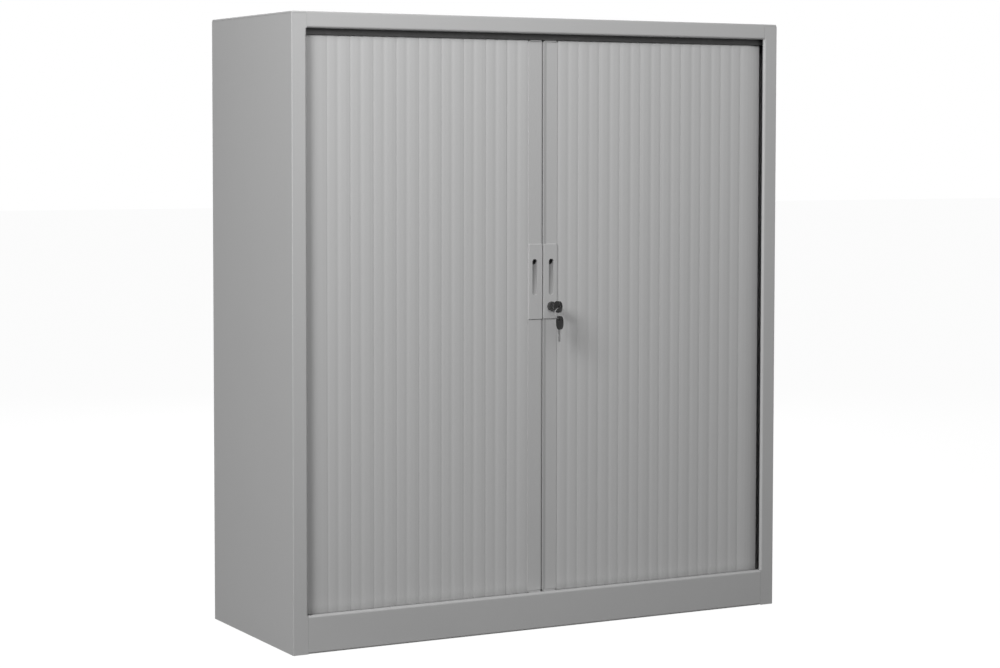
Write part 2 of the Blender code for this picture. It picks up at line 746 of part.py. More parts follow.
def stile_outline(inset, side):
    low = (STILE_INNER + inset, at_depth(CURTAIN_DEPTH + inset))
    high = (STILE_OUTER - inset, at_depth(STILE_BACK_DEPTH - inset))
    meeting = max(MEETING_RADIUS - inset, FIT)
    rear = max(STILE_RADIUS - inset, FIT)
    return sided(rounded_rectangle(low, high, [meeting, rear, rear, rear]), side)


def hook_slot(side, inner, outer, name):
    """A cutter for the slot in a meeting wall that the swinging hook passes through."""
    tip = math.hypot(HOOK_REACH, HOOK_HALF_WIDTH + FINGER_LENGTH)
    near = GRIP_OFFSET - STILE_INNER - STILE_WALL
    low = LOCK_HEIGHT - math.sqrt(tip ** 2 - near ** 2) - HOOK_SWEEP_CLEARANCE
    high = LOCK_HEIGHT + HOOK_HALF_WIDTH + HOOK_SLOT_CLEARANCE
    front = at_depth(HOOK_DEPTH - HOOK_SLOT_CLEARANCE)
    rear = at_depth(HOOK_DEPTH + HOOK_THICKNESS + HOOK_SLOT_CLEARANCE)
    near_x, far_x = sorted((side * inner, side * outer))
    return block(name, (near_x, front, low), (far_x, rear, high))


def make_lead_stile(side, aluminium, door):
    """The hollow lead stile, with its handle window, its hook slot and, on the right, the lock's hole."""
    word = side_name(side)
    stile = prism(f"{word}_lead_stile", stile_outline(0, side), plan, STILE_BOTTOM, STILE_TOP, aluminium)
    hollow = prism(f"{word}_stile_hollow", stile_outline(STILE_WALL, side), plan,
                   STILE_BOTTOM - OVERRUN, STILE_TOP + OVERRUN)
    front = at_depth(CURTAIN_DEPTH - OVERRUN)
    rear = at_depth(CURTAIN_DEPTH + STILE_WALL + OVERRUN)
    window = prism(f"{word}_handle_window", grip_outline(side, GRIP_BOTTOM, CUP_WALL + FIT), elevation, front, rear)
    slot = hook_slot(side, STILE_INNER - OVERRUN, STILE_INNER + STILE_WALL + OVERRUN, f"{word}_hook_slot")
    cut(stile, hollow, window, slot)
    if side > 0:
        hole = circle_outline((GRIP_OFFSET, LOCK_HEIGHT), BARREL_RADIUS + FIT)
        cut(stile, prism("stile_lock_hole", hole, elevation, front, rear))
    carry(stile, door)


def make_shoe(side, end, plastic, door):
    """The cap that closes one end of a lead stile, with its plug inside and its shoe in the track."""
    low, high = shoe_ends()
    plug_inset = STILE_WALL + CAP_PLUG_CLEARANCE
    front, rear = groove_depths()
    if end == "top":
        cap = (STILE_TOP + FIT, STILE_TOP + FIT + CAP_HEIGHT)
        plug = (cap[0] - CAP_PLUG_HEIGHT, cap[0] + CAP_HEIGHT / 2)
        tongue = (cap[0] + CAP_HEIGHT / 2, TOP_TRACK_TOP - TRACK_WALL - SHOE_HEIGHT_CLEARANCE)
    else:
        cap = (STILE_BOTTOM - FIT - CAP_HEIGHT, STILE_BOTTOM - FIT)
        plug = (cap[1] - CAP_HEIGHT / 2, cap[1] + CAP_PLUG_HEIGHT)
        tongue = (BOTTOM_TRACK_BOTTOM + TRACK_WALL + SHOE_HEIGHT_CLEARANCE, cap[1] - CAP_HEIGHT / 2)
    name = f"{side_name(side)}_{end}_shoe"
    shoe = prism(name, stile_outline(FIT, side), plan, *cap, plastic)
    inside = prism(f"{name}_plug", stile_outline(plug_inset, side), plan, *plug)
    near, far = sorted((side * low, side * high))
    runner = block(f"{name}_tongue", (near, front, tongue[0]), (far, rear, tongue[1]))
    weld_on(shoe, inside, runner)
    carry(shoe, door)


def grip_outline(side, bottom, growth):
    """An upright round-ended outline, in X and Z, from this height to the grip's top, grown all round."""
    half = GRIP_WIDTH / 2 + growth
    low = (GRIP_OFFSET - half, bottom - growth)
    high = (GRIP_OFFSET + half, GRIP_TOP + growth)
    return sided(rounded_rectangle(low, high, [half] * 4), side)


def grip_cutters(side, word):
    """The finger groove, which runs a little deeper towards its top, and the round pocket there."""
    face = at_depth(HANDLE_FACE_DEPTH - OVERRUN)
    floor = at_depth(HANDLE_FACE_DEPTH + GRIP_SHALLOW_DEPTH)
    groove = prism(f"{word}_grip_groove", grip_outline(side, GRIP_BOTTOM, 0), elevation, face, floor)
    slope = (GRIP_SLOPE_DEPTH - GRIP_SHALLOW_DEPTH) / GRIP_HEIGHT
    for point in groove.data.vertices:
        if point.co.y > (face + floor) / 2:
            point.co.y += (point.co.z - GRIP_BOTTOM) * slope
    pocket = prism(f"{word}_grip_pocket", grip_outline(side, GRIP_TOP - GRIP_WIDTH, 0), elevation,
                   face, at_depth(HANDLE_FACE_DEPTH + GRIP_POCKET_DEPTH))
    return groove, pocket


def make_handle(side, plastic, door):
    """The moulded handle: a plate on the stile's face with a finger cup through its window."""
    word = side_name(side)
    low = (STILE_INNER + HANDLE_MARGIN, HANDLE_BOTTOM)
    high = (STILE_OUTER - HANDLE_MARGIN, HANDLE_BOTTOM + HANDLE_HEIGHT)
    outline = sided(rounded_rectangle(low, high, [HANDLE_RADIUS] * 4), side)
    handle = prism(f"{word}_handle", outline, elevation,
                   at_depth(HANDLE_FACE_DEPTH), at_depth(HANDLE_FACE_DEPTH + HANDLE_THICKNESS), plastic)
    bevel = handle.modifiers.new("Rounded front", "BEVEL")
    bevel.width = HANDLE_EDGE
    bevel.segments = 2
    bevel.limit_method = "ANGLE"
    bevel.angle_limit = math.radians(60)
    cup = prism(f"{word}_finger_cup", grip_outline(side, GRIP_BOTTOM, CUP_WALL), elevation,
                at_depth(HANDLE_FACE_DEPTH + HANDLE_EDGE),
                at_depth(HANDLE_FACE_DEPTH + GRIP_POCKET_DEPTH + CUP_WALL))
    weld_on(handle, cup)
    cut(handle, *grip_cutters(side, word))
    if side > 0:
        hole = circle_outline((GRIP_OFFSET, LOCK_HEIGHT), BARREL_RADIUS + FIT)
        cut(handle, prism("handle_lock_hole", hole, elevation, at_depth(HANDLE_FACE_DEPTH - OVERRUN),
                          at_depth(HANDLE_FACE_DEPTH + HANDLE_THICKNESS + OVERRUN)))
    carry(handle, door)


def make_lock_body(black, door):
    """The barrel with its bezel, which the plug turns in."""
    barrel_start = BEZEL_HEIGHT
    barrel_end = BARREL_END_DEPTH - LOCK_FACE_DEPTH
    bore = PLUG_RADIUS + FIT
    profile = [
        (bore, 0),
        (BEZEL_RADIUS - BEZEL_EDGE, 0),
        (BEZEL_RADIUS, BEZEL_EDGE),
        (BEZEL_RADIUS, barrel_start),
        (BARREL_RADIUS, barrel_start),
        (BARREL_RADIUS, barrel_end),
        (bore, barrel_end),
    ]
    body = turned("lock_body", profile, "Y", True, black)
    body.location = LOCK_AXIS
    smooth(body)
    carry(body, door)


def make_lock_plug(steel, lock):
    """The plug with its keyway, and the tail that the hook is fixed to."""
    shoulder = HOOK_DEPTH - FIT - LOCK_FACE_DEPTH
    tail_end = HOOK_DEPTH + HOOK_THICKNESS - LOCK_FACE_DEPTH
    profile = [
        (0, PLUG_SINK),
        (PLUG_RADIUS, PLUG_SINK),
        (PLUG_RADIUS, shoulder),
        (TAIL_RADIUS, shoulder),
        (TAIL_RADIUS, tail_end),
        (0, tail_end),
    ]
    plug = turned("lock_plug", profile, "Y", False, steel)
    across = BLADE_THICKNESS / 2 + KEYWAY_CLEARANCE
    up = BLADE_WIDTH / 2 + KEYWAY_CLEARANCE
    keyway = block("keyway", (-across, -OVERRUN, -up), (across, BLADE_LENGTH + KEYWAY_CLEARANCE, up))
    cut(plug, keyway)
    keyway.parent = lock
    smooth(plug)
    plug.parent = lock


def make_lock_hook(steel, lock):
    """The hook, which points down at rest and swings up into the other stile as the key turns."""
    width = HOOK_HALF_WIDTH
    finger_inner = HOOK_REACH - FINGER_WIDTH
    outline = [
        (-width, 0),
        (-width, -finger_inner),
        (-width - FINGER_LENGTH, -finger_inner),
        (-width - FINGER_LENGTH, -HOOK_REACH),
        (width, -HOOK_REACH),
        (width, 0),
    ]
    front = HOOK_DEPTH - LOCK_FACE_DEPTH
    rear = front + HOOK_THICKNESS
    hook = prism("lock_hook", outline, elevation, front, rear, steel)
    hub = prism("hook_hub", circle_outline((0, 0), HOOK_HUB_RADIUS), elevation, front, rear)
    hole = prism("hook_hole", circle_outline((0, 0), TAIL_RADIUS + FIT), elevation,
                 front - OVERRUN, rear + OVERRUN)
    weld_on(hook, hub)
    cut(hook, hole)
    for item in (hook, hub, hole):
        item.parent = lock


def make_lock_strike(steel, door):
    """The plate behind the left meeting wall that the hook's finger catches."""
    slot = hook_slot(-1, STRIKE_HALF - OVERRUN, STRIKE_HALF + STRIKE_SHEET + OVERRUN, "strike_slot")
    low = min(point.co.z for point in slot.data.vertices) - STRIKE_MARGIN
    high = max(point.co.z for point in slot.data.vertices) + STRIKE_MARGIN
    inset = STILE_WALL + FIT
    strike = block(
        "lock_strike",
        (-STRIKE_HALF - STRIKE_SHEET, at_depth(CURTAIN_DEPTH + MEETING_RADIUS), low),
        (-STRIKE_HALF, at_depth(STILE_BACK_DEPTH - inset), high),
        steel,
    )
    cut(strike, slot)
    carry(strike, door)


def key_mesh(finish):
    """A flat key along +Y from the hole in its bow, with its faces square to X."""
    bow_end = -BOW_HOLE_INSET
    bow_start = bow_end + BOW_LENGTH
    neck_start = bow_start + KEY_NECK
    half = BOW_WIDTH / 2
    outline = rounded_rectangle((bow_end, -half), (bow_start, half), [BOW_RADIUS] * 4, TURN_STEPS // 4)
    thick = BOW_THICKNESS / 2
    bow = prism("key", outline, section, -thick, thick, finish)
    neck_half = KEY_NECK_WIDTH / 2
    neck_thick = KEY_NECK_THICKNESS / 2
    neck = block("key_neck", (-neck_thick, bow_start - BOW_RADIUS, -neck_half),
                 (neck_thick, neck_start - FIT, neck_half))
    blade_half = BLADE_WIDTH / 2
    blade_thick = BLADE_THICKNESS / 2
    blade = block("key_blade", (-blade_thick, bow_start, -blade_half),
                  (blade_thick, neck_start + BLADE_LENGTH, blade_half))
    hole = prism("bow_hole", circle_outline((0, 0), BOW_HOLE_RADIUS), section,
                 -thick - OVERRUN, thick + OVERRUN)
    return bow, (neck, blade, hole)


def make_key(name, carrier, offset, turn, finish):
    """A key hung on its carrier, with the hole of its bow at this offset."""
    key, helpers = key_mesh(finish)
    key.name = name
    weld_on(key, *helpers[:2])
    cut(key, helpers[2])
    smooth(key)
    for item in (key, *helpers):
        item.parent = carrier
        item.location = offset
        item.rotation_euler = (turn, 0, 0)


def make_key_ring(steel, carrier):
    """A wire ring that hangs in the bow's hole and lies square to the key."""
    shape = bmesh.new()
    wire = bmesh.ops.create_circle(shape, segments=WIRE_STEPS, radius=RING_WIRE_RADIUS)
    bmesh.ops.rotate(shape, verts=wire["verts"], cent=(0, 0, 0), matrix=Matrix.Rotation(math.pi / 2, 3, "Y"))
    bmesh.ops.spin(
        shape, geom=shape.verts[:] + shape.edges[:], cent=(0, 0, -RING_RADIUS), axis=(0, 1, 0),
        angle=2 * math.pi, steps=TURN_STEPS, use_merge=True,
    )
    ring = new_object("key_ring", mesh_from(shape, "key_ring"), steel)
    ring.data.shade_smooth()
    ring.parent = carrier


def make_carcass(paint, inner, steel, black, foot):
    for side in (1, -1):
        make_side_panel(side, paint)
        make_liner(side, inner)
    make_top_panel(paint)
    make_base_panel(paint)
    make_back_panel(paint)
    make_inner_back_panel(inner)
    make_tracks(black, inner)
    for number, top in enumerate(shelf_tops(), 1):
        make_shelf(number, top, inner)
        for side in (1, -1):
            make_shelf_bracket(number, top, side, steel)
    for name, centre in foot_places():
        make_foot(name, centre, foot)
    for side in (1, -1):
        make_door_stop(side, foot)


def make_door(side, slats, stile, handle, black):
    """One curtain's lead group, with its slats, and the empty that slides along the track."""
    middle = Vector((0, at_depth(CURTAIN_DEPTH), (SLAT_BOTTOM + SLAT_TOP) / 2))
    door = make_carrier(f"{side_name(side)}_door", middle)
    make_lead_stile(side, stile, door)
    make_handle(side, handle, door)
    for end in ("top", "bottom"):
        make_shoe(side, end, black, door)
    make_slats(side, slats, door)
    return door


def make_lock(door, black, steel):
    make_lock_body(black, door)
    lock = make_carrier("lock", LOCK_AXIS)
    make_lock_plug(steel, lock)
    make_lock_hook(steel, lock)
    hole = Vector((0, FRONT - BOW_HOLE_PROUD - LOCK_AXIS.y, 0))
    make_key("key", lock, hole, 0, black)
    ring = make_carrier("ring", RING_AXIS)
    make_key_ring(steel, ring)
    spare = make_carrier("spare", SPARE_KEY_AXIS)
    make_key("spare_key", spare, Vector((0, 0, -RING_DROP)), -math.pi / 2, black)


def main():
    clear_scene()
    paint = make_finish("Light grey paint", PAINT_GREY, 0.45)
    inner = make_finish("Inner grey paint", INNER_GREY, 0.5)
    slats = make_finish("Slat plastic", SLAT_GREY, 0.5)
    stile = make_finish("Stile lacquer", PAINT_GREY, 0.42)
    handle = make_finish("Handle plastic", HANDLE_GREY, 0.48)
    track_black = make_finish("Track plastic", TRACK_BLACK, 0.55)
    lock_black = make_finish("Lock and key black", LOCK_BLACK, 0.4)
    steel = make_finish("Bare steel", BARE_STEEL, 0.3, 1.0)
    foot = make_finish("Foot plastic", FOOT_BLACK, 0.6)
    make_carcass(paint, inner, steel, track_black, foot)
    right = make_door(1, slats, stile, handle, track_black)
    left = make_door(-1, slats, stile, handle, track_black)
    make_lock(right, lock_black, steel)
    make_lock_strike(steel, left)


main()
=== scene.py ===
"""Dresses a side-opening tambour door cabinet: fine surfaces and finishes round its fixed frame.

Units are metres and +Z is up. X runs to the right as seen from the front, and the front faces -Y.
"""
import json
import math

import bmesh
import bpy
from mathutils import Matrix, Vector


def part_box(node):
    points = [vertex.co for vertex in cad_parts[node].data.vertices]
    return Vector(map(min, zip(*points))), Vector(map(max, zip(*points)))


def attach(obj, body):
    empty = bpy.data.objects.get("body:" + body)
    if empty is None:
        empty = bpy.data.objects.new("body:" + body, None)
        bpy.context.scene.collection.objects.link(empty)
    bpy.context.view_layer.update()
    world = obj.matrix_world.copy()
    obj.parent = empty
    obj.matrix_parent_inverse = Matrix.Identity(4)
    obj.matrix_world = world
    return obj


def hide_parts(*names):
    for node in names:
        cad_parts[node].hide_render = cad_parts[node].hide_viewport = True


bl_info = {
    "name": "Tambour Door Cabinet",
    "version": (1, 0, 0),
    "blender": (4, 5, 0),
    "location": "3D View > Sidebar > Cabinet",
    "description": "Builds the panels, slatted curtains, handles, lock and keys of a tambour door cabinet",
    "category": "Add Mesh",
}

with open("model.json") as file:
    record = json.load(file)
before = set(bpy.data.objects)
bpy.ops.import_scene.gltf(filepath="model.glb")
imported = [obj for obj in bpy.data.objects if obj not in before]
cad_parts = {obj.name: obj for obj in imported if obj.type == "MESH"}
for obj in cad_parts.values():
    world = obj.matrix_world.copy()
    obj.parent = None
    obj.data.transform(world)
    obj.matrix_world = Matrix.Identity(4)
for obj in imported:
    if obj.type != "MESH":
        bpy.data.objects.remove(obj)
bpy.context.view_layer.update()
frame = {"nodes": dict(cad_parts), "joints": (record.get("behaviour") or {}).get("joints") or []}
SIDES = {"left": -1, "right": 1}
MM = 0.001
OVERRUN = 2 * MM
FLOOR_GLOW = 0.95

# Planes of the carcass, read from its nodes
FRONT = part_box("left_side_panel")[0].y
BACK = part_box("left_side_panel")[1].y
MIDDLE_Y = (FRONT + BACK) / 2
HALF_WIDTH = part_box("right_side_panel")[1].x
OPENING_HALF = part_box("right_side_panel")[0].x
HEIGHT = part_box("top_panel")[1].z
SIDE_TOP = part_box("right_side_panel")[1].z
PLINTH_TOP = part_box("base_panel")[1].z
RAIL_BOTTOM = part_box("top_panel")[0].z

# The photographer's camera, from the corners of the cabinet in the picture
VIEW_AZIMUTH = math.radians(-28.3845)
VIEW_ELEVATION = math.radians(3.1602)
VIEW_ROLL = math.radians(0.09)
VIEW_DISTANCE = 5.38046
VIEW_TARGET = Vector((0.003088, MIDDLE_Y, 0.771074))
LENS_MM = 86.0095
LENS_SHIFT = -0.0624
SENSOR_MM = 36


def length(name, description, millimetres):
    return bpy.props.FloatProperty(name=name, description=description, default=millimetres * MM, min=0,
                                   unit="LENGTH", precision=4)


def grey(name, description, level):
    return bpy.props.FloatVectorProperty(name=name, description=description, default=[level] * 3,
                                         subtype="COLOR", min=0, max=1)


def power(name, description, watts):
    return bpy.props.FloatProperty(name=name, description=description, default=watts, unit="POWER")


class SheetSizes(bpy.types.PropertyGroup):
    """Folded sheet steel."""

    sheet: length("Sheet", "Thickness of the folded steel", 1.2)
    roll: length("Rolled edge", "Outer radius of the edges round the door opening", 5)
    corner: length("Corner", "Outer radius of the cabinet's upright corners", 1.8)
    bend: length("Bend", "Outer radius of the folds inside the cabinet", 2.4)
    top_edge: length("Top edge", "Radius of the top panel's rim", 3)
    top_lip: length("Top lip", "Height of the rim of the top panel", 4)
    jamb_return: length("Jamb return", "Depth of the fold behind each jamb", 6.5)
    rail_depth: length("Rail depth", "Depth of the folds behind rail and plinth", 15.5)
    back_flange: length("Rear flange", "Width of the flanges that hold the back", 20)
    floor_return: length("Floor return", "Width of the folds that stand on the floor", 25)
    soffit_rise: length("Soffit rise", "Height of the soffit above the rail's edge", 8)
    floor_drop: length("Floor drop", "How far the floor lies below the plinth's edge", 6.5)
    fit: length("Fit", "Gap between neighbouring pieces", 0.3)
    edge: length("Sheet edge", "Rounding of the cut edges of a sheet", 0.25)


class CurtainSizes(bpy.types.PropertyGroup):
    """Slats, lead stiles and handles."""

    crown: length("Crown", "How far the middle of a slat stands before its edges", 0.6)
    stile_wall: length("Stile wall", "Wall of the hollow lead stile", 1.6)
    meeting: length("Meeting edge", "Radius of the stile where the doors meet", 2.5)
    stile_edge: length("Stile edge", "Radius of the stile's other edges", 0.8)
    handle_plate: length("Handle plate", "Depth from the solid handle's face to the plate's rear", 3.7)
    handle_inset: length("Handle inset", "Depth from the solid handle's face to the plate's face", 2)
    handle_corner: length("Handle corner", "Radius of the handle plate's corners", 3)
    handle_rim: length("Handle rim", "Rounding of the handle plate's front rim", 1.4)
    grip_width: length("Grip width", "Width of the finger groove", 12)
    grip_height: length("Grip height", "Height of the finger groove", 79)
    grip_rise: length("Grip rise", "Height of the groove above the handle's lower end", 52.5)
    grip_offset: length("Grip offset", "Distance of grip and lock from the middle", 20.5)
    grip_shallow: length("Grip depth", "Depth of the groove at its lower end", 4.5)
    grip_slope: length("Upper grip depth", "Depth of the groove at its upper end", 7.5)
    grip_pocket: length("Pocket depth", "Depth of the round pocket at the top", 13.5)
    cup_wall: length("Cup wall", "Wall of the finger cup behind the plate", 2.4)


class LockSizes(bpy.types.PropertyGroup):
    """Lock, keys and key ring."""

    bezel: length("Bezel radius", "Radius of the lock's face", 10)
    bezel_height: length("Bezel height", "How far the face stands before the handle", 5.7)
    bezel_edge: length("Bezel edge", "Bevel round the face", 1.2)
    barrel: length("Barrel radius", "Radius of the barrel behind the face", 8)
    plug: length("Plug radius", "Radius of the plug that turns with the key", 5.5)
    tail: length("Tail radius", "Radius of the plug's tail, which carries the hook", 3.5)
    bow_length: length("Bow length", "Length of the key's plastic bow", 30)
    bow_width: length("Bow width", "Width of the key's bow", 25)
    bow_thickness: length("Bow thickness", "Thickness of the key's bow", 4.5)
    bow_corner: length("Bow corner", "Radius of the bow's corners", 11.5)
    bow_rim: length("Bow rim", "Width of the raised rim round the bow", 2.2)
    bow_hole: length("Bow hole", "Radius of the hole for the ring", 3)
    hole_inset: length("Hole inset", "Distance of that hole's middle from the bow's end", 8)
    neck: length("Neck length", "Length of the key between bow and lock", 10)
    neck_width: length("Neck width", "Width of the key's neck", 10)
    neck_thickness: length("Neck thickness", "Thickness of the key's neck", 3.4)
    blade: length("Blade length", "Length of the blade inside the lock", 17)
    blade_width: length("Blade width", "Width of the blade", 7.2)
    blade_thickness: length("Blade thickness", "Thickness of the blade", 2)
    cut_depth: length("Cut depth", "Depth of the deepest cut in the blade", 1.6)
    ring: length("Ring radius", "Radius of the key ring, to the middle of its wire", 12)
    wire: length("Wire", "Thickness of the ring's two turns of wire together", 1.3)


class FinishColours(bpy.types.PropertyGroup):
    """Colours of the finishes."""

    paint: grey("Body paint", "Powder coat of the panels", 0.53)
    inner: grey("Inner paint", "Paint of shelves and linings", 0.50)
    slats: grey("Slats", "Plastic of the slats", 0.575)
    stile: grey("Stiles", "Lacquer of the lead stiles", 0.54)
    handle: grey("Handles", "Plastic of the handles", 0.55)
    track: grey("Tracks", "Black plastic of the top track", 0.045)
    lock: grey("Lock", "Dark lacquer of the lock's body", 0.045)
    key: grey("Keys", "Black plastic of the keys' bows", 0.012)
    steel: grey("Steel", "Zinc plated and polished steel", 0.50)
    rubber: grey("Rubber", "Rubber of the buffers", 0.02)
    feet: grey("Feet", "Plastic of the levelling feet", 0.025)
    floor: grey("Floor", "The studio's floor", 0.07)


class CabinetSettings(bpy.types.PropertyGroup):
    """All that a user of the panel can change."""

    sheet: bpy.props.PointerProperty(name="Sheet steel", description="Folds and gaps", type=SheetSizes)
    curtain: bpy.props.PointerProperty(name="Curtains", description="Slats and handles", type=CurtainSizes)
    lock: bpy.props.PointerProperty(name="Lock", description="Lock and keys", type=LockSizes)
    colours: bpy.props.PointerProperty(name="Colours", description="Finishes", type=FinishColours)


def settings():
    return bpy.context.scene.tambour_cabinet


class Signal:
    """An output socket of a node, which Python's own sums can work with."""

    def __init__(self, finish, socket):
        self.finish = finish
        self.socket = socket

    def maths(self, operation, *others):
        """This value worked on by a maths node, with a second value where the operation takes one."""
        return self.finish.node("ShaderNodeMath", {"operation": operation}, dict(enumerate((self, *others))))

    def __add__(self, other):
        return self.maths("ADD", other)

    def __sub__(self, other):
        return self.maths("SUBTRACT", other)

    def __mul__(self, other):
        return self.maths("MULTIPLY", other)

    def __truediv__(self, other):
        return self.maths("DIVIDE", other)

    __radd__ = __add__
    __rmul__ = __mul__

    def ramp(self, low, high, to_low=0.0, to_high=1.0):
        """This value's way from low to high, eased, as a value from to_low to to_high."""
        return self.finish.node("ShaderNodeMapRange", {"interpolation_type": "SMOOTHSTEP"}, {
            "Value": self, "From Min": low, "From Max": high, "To Min": to_low, "To Max": to_high})


class Finish:
    """A material's node tree."""

    def __init__(self, name):
        self.material = bpy.data.materials.new(name)
        self.material.use_nodes = True
        self.tree = self.material.node_tree
        self.place = self.node("ShaderNodeTexCoord", output="Object")

    def node(self, kind, choices=None, inputs=None, output=0):
        """Adds a node with its settings, then the values or links of its sockets."""
        made = self.tree.nodes.new(kind)
        for name, value in (choices or {}).items():
            setattr(made, name, value)
        for key, value in (inputs or {}).items():
            self.feed(made.inputs[key], value)
        return Signal(self, made.outputs[output])

    def feed(self, socket, value):
        if isinstance(value, Signal):
            self.tree.links.new(value.socket, socket)
        else:
            socket.default_value = value

    def surface(self, **inputs):
        """Sets sockets of the Principled BSDF, such as base_color=grey."""
        for name, value in inputs.items():
            self.feed(self.tree.nodes["Principled BSDF"].inputs[name.replace("_", " ").title()], value)

    def coat(self, colour, brightness, roughness, *bumps, metallic=0.0):
        """A colour times a value round 1, under bumps given as (height, millimetres, strength)."""
        under = {}
        for height, depth, strength in bumps:
            under["Normal"] = self.node("ShaderNodeBump", inputs={
                "Height": height, "Distance": depth * MM, "Strength": strength, **under})
        tint = self.node("ShaderNodeVectorMath", {"operation": "SCALE"}, {0: colour[:], "Scale": brightness})
        self.surface(base_color=tint, roughness=roughness, metallic=metallic, normal=under["Normal"])

    def noise(self, size, detail=2.0, rough=0.5, stretch=(1, 1, 1)):
        """Noise with blotches of about this many millimetres, longer on an axis with a small stretch."""
        place = self.node("ShaderNodeMapping", inputs={"Vector": self.place, "Scale": stretch})
        return self.node("ShaderNodeTexNoise", inputs={
            "Vector": place, "Scale": 1 / (size * MM), "Detail": detail, "Roughness": rough})

    def axis(self, name):
        return self.node("ShaderNodeSeparateXYZ", inputs={0: self.place}, output=name)


def finish_called(name):
    """Turns a recipe for a finish into a function that gives its material, made at the first use."""
    def wrap(recipe):
        def material():
            if name not in bpy.data.materials:
                recipe(Finish(name))
            return bpy.data.materials[name]
        return material
    return wrap


def powder_coat(finish, colour, gloss):
    """Baked powder: cloudy at arm's length, with a fine orange peel and tiny specks."""
    cloud = finish.noise(160, 3)
    film = finish.noise(14, 3, 0.6)
    peel = finish.noise(1.6, 2, 0.55)
    grain = finish.noise(0.35, 1)
    specks = finish.noise(2.6, 1).ramp(0.70, 0.78)
    brightness = 0.968 + 0.030 * cloud + 0.022 * film + 0.016 * grain - 0.035 * specks
    finish.coat(colour, brightness, gloss + 0.07 * film + 0.05 * grain,
                (peel, 0.035, 0.6), (grain, 0.012, 0.5))


@finish_called("Light grey powder coat")
def body_paint(finish):
    powder_coat(finish, settings().colours.paint, 0.46)


@finish_called("Inner grey paint")
def inner_paint(finish):
    powder_coat(finish, settings().colours.inner, 0.44)


@finish_called("Slat plastic")
def slat_plastic(finish):
    """Extruded slats: drawn streaks along each, a slight difference between them, darker at the foot."""
    foot_rise, painted_foot_shade = 20 * MM, 0.82
    number = ((finish.axis("X").maths("ABSOLUTE") - lead_edge()) / slat_pitch()).maths("FLOOR")
    side = finish.axis("X").maths("SIGN")
    own = finish.node("ShaderNodeTexWhiteNoise", {"noise_dimensions": "1D"}, {"W": number * side + 0.5})
    streak = finish.noise(1.1, 3, 0.6, (1, 1, 0.004))
    broad = finish.noise(7, 2, 0.5, (1, 1, 0.01))
    grain = finish.noise(0.4, 1)
    cloud = finish.noise(120, 2)
    # Painted shade: the slats darken towards their foot, where the plinth's ledge keeps light off them.
    foot = finish.axis("Z").ramp(PLINTH_TOP, PLINTH_TOP + foot_rise, painted_foot_shade, 1.0)
    varied = 0.955 + 0.014 * own + 0.020 * streak + 0.022 * broad + 0.012 * grain + 0.014 * cloud
    finish.coat(settings().colours.slats, foot * varied, 0.40 + 0.06 * streak + 0.05 * grain,
                (streak, 0.020, 0.5), (grain, 0.010, 0.4))


@finish_called("Stile lacquer")
def stile_lacquer(finish):
    """Lacquered aluminium with fine die lines, and a darker band where the two stiles meet."""
    band_middle, band_half, band_end, band_shade = 2 * MM, 5 * MM, 8 * MM, 0.76
    line = finish.noise(0.8, 3, 0.6, (1, 1, 0.003))
    cloud = finish.noise(90, 2)
    grain = finish.noise(0.5, 1)
    # Painted shade: the lacquer is darkened near the middle, where the groove between the two stiles lies in
    # shade.
    painted_meeting_shade = (finish.axis("X") - band_middle).maths("ABSOLUTE").ramp(band_half, band_end, band_shade, 1.0)
    brightness = painted_meeting_shade * (0.965 + 0.02 * line + 0.025 * cloud + 0.012 * grain)
    finish.coat(settings().colours.stile, brightness, 0.36 + 0.07 * line + 0.04 * grain,
                (line, 0.014, 0.5), (grain, 0.008, 0.4))


@finish_called("Handle plastic")
def handle_plastic(finish):
    """Moulded plastic with a fine spark-eroded grain, polished by fingers and dark deep in its pocket."""
    grain_size, shade_start, shade_end, deep_shade = 0.7 * MM, 16 * MM, 28 * MM, 0.10
    grain = finish.node("ShaderNodeTexVoronoi", inputs={"Vector": finish.place, "Scale": 1 / grain_size})
    fine = finish.noise(0.3, 2)
    cloud = finish.noise(30, 3)
    rubbed = finish.noise(9, 2).ramp(0.5, 0.75)
    # Painted shade: the plastic darkens with depth inside the finger pocket, where shade falls.
    painted_pocket_shade = finish.axis("Y").ramp(at_depth(shade_start), at_depth(shade_end), 1.0, deep_shade)
    finish.coat(settings().colours.handle, painted_pocket_shade * (0.965 + 0.03 * cloud + 0.02 * fine),
                0.46 + 0.06 * fine - 0.08 * rubbed, (grain, 0.020, 0.35), (fine, 0.010, 0.5))


def black_plastic(finish, colour, gloss, stretch=(1, 1, 1)):
    """Extruded or moulded black plastic, with dust lying in its fine streaks."""
    streak = finish.noise(1.4, 3, 0.6, stretch)
    grain = finish.noise(0.5, 2)
    dust = finish.noise(22, 4, 0.65).ramp(0.48, 0.72)
    finish.coat(colour, 0.85 + 0.35 * streak + 0.25 * grain + 0.5 * dust,
                gloss + 0.10 * grain + 0.12 * dust, (streak, 0.02, 0.5), (grain, 0.012, 0.5))


@finish_called("Track plastic")
def track_plastic(finish):
    black_plastic(finish, settings().colours.track, 0.42, (0.02, 1, 1))


@finish_called("Foot plastic")
def foot_plastic(finish):
    black_plastic(finish, settings().colours.feet, 0.50)


@finish_called("Black rubber")
def rubber(finish):
    black_plastic(finish, settings().colours.rubber, 0.62)


@finish_called("Key plastic")
def key_plastic(finish):
    black_plastic(finish, settings().colours.key, 0.28)


@finish_called("Lock lacquer")
def lock_lacquer(finish):
    """A zinc die casting under dark lacquer, with fine pits and worn spots."""
    pits = finish.noise(0.35, 2)
    cloud = finish.noise(4, 3)
    worn = finish.noise(1.6, 4, 0.7).ramp(0.60, 0.74)
    finish.coat(settings().colours.lock, 0.8 + 0.3 * cloud + 0.2 * pits + 0.6 * worn,
                0.30 + 0.10 * pits + 0.08 * cloud, (pits, 0.010, 0.5), metallic=0.25 * worn)


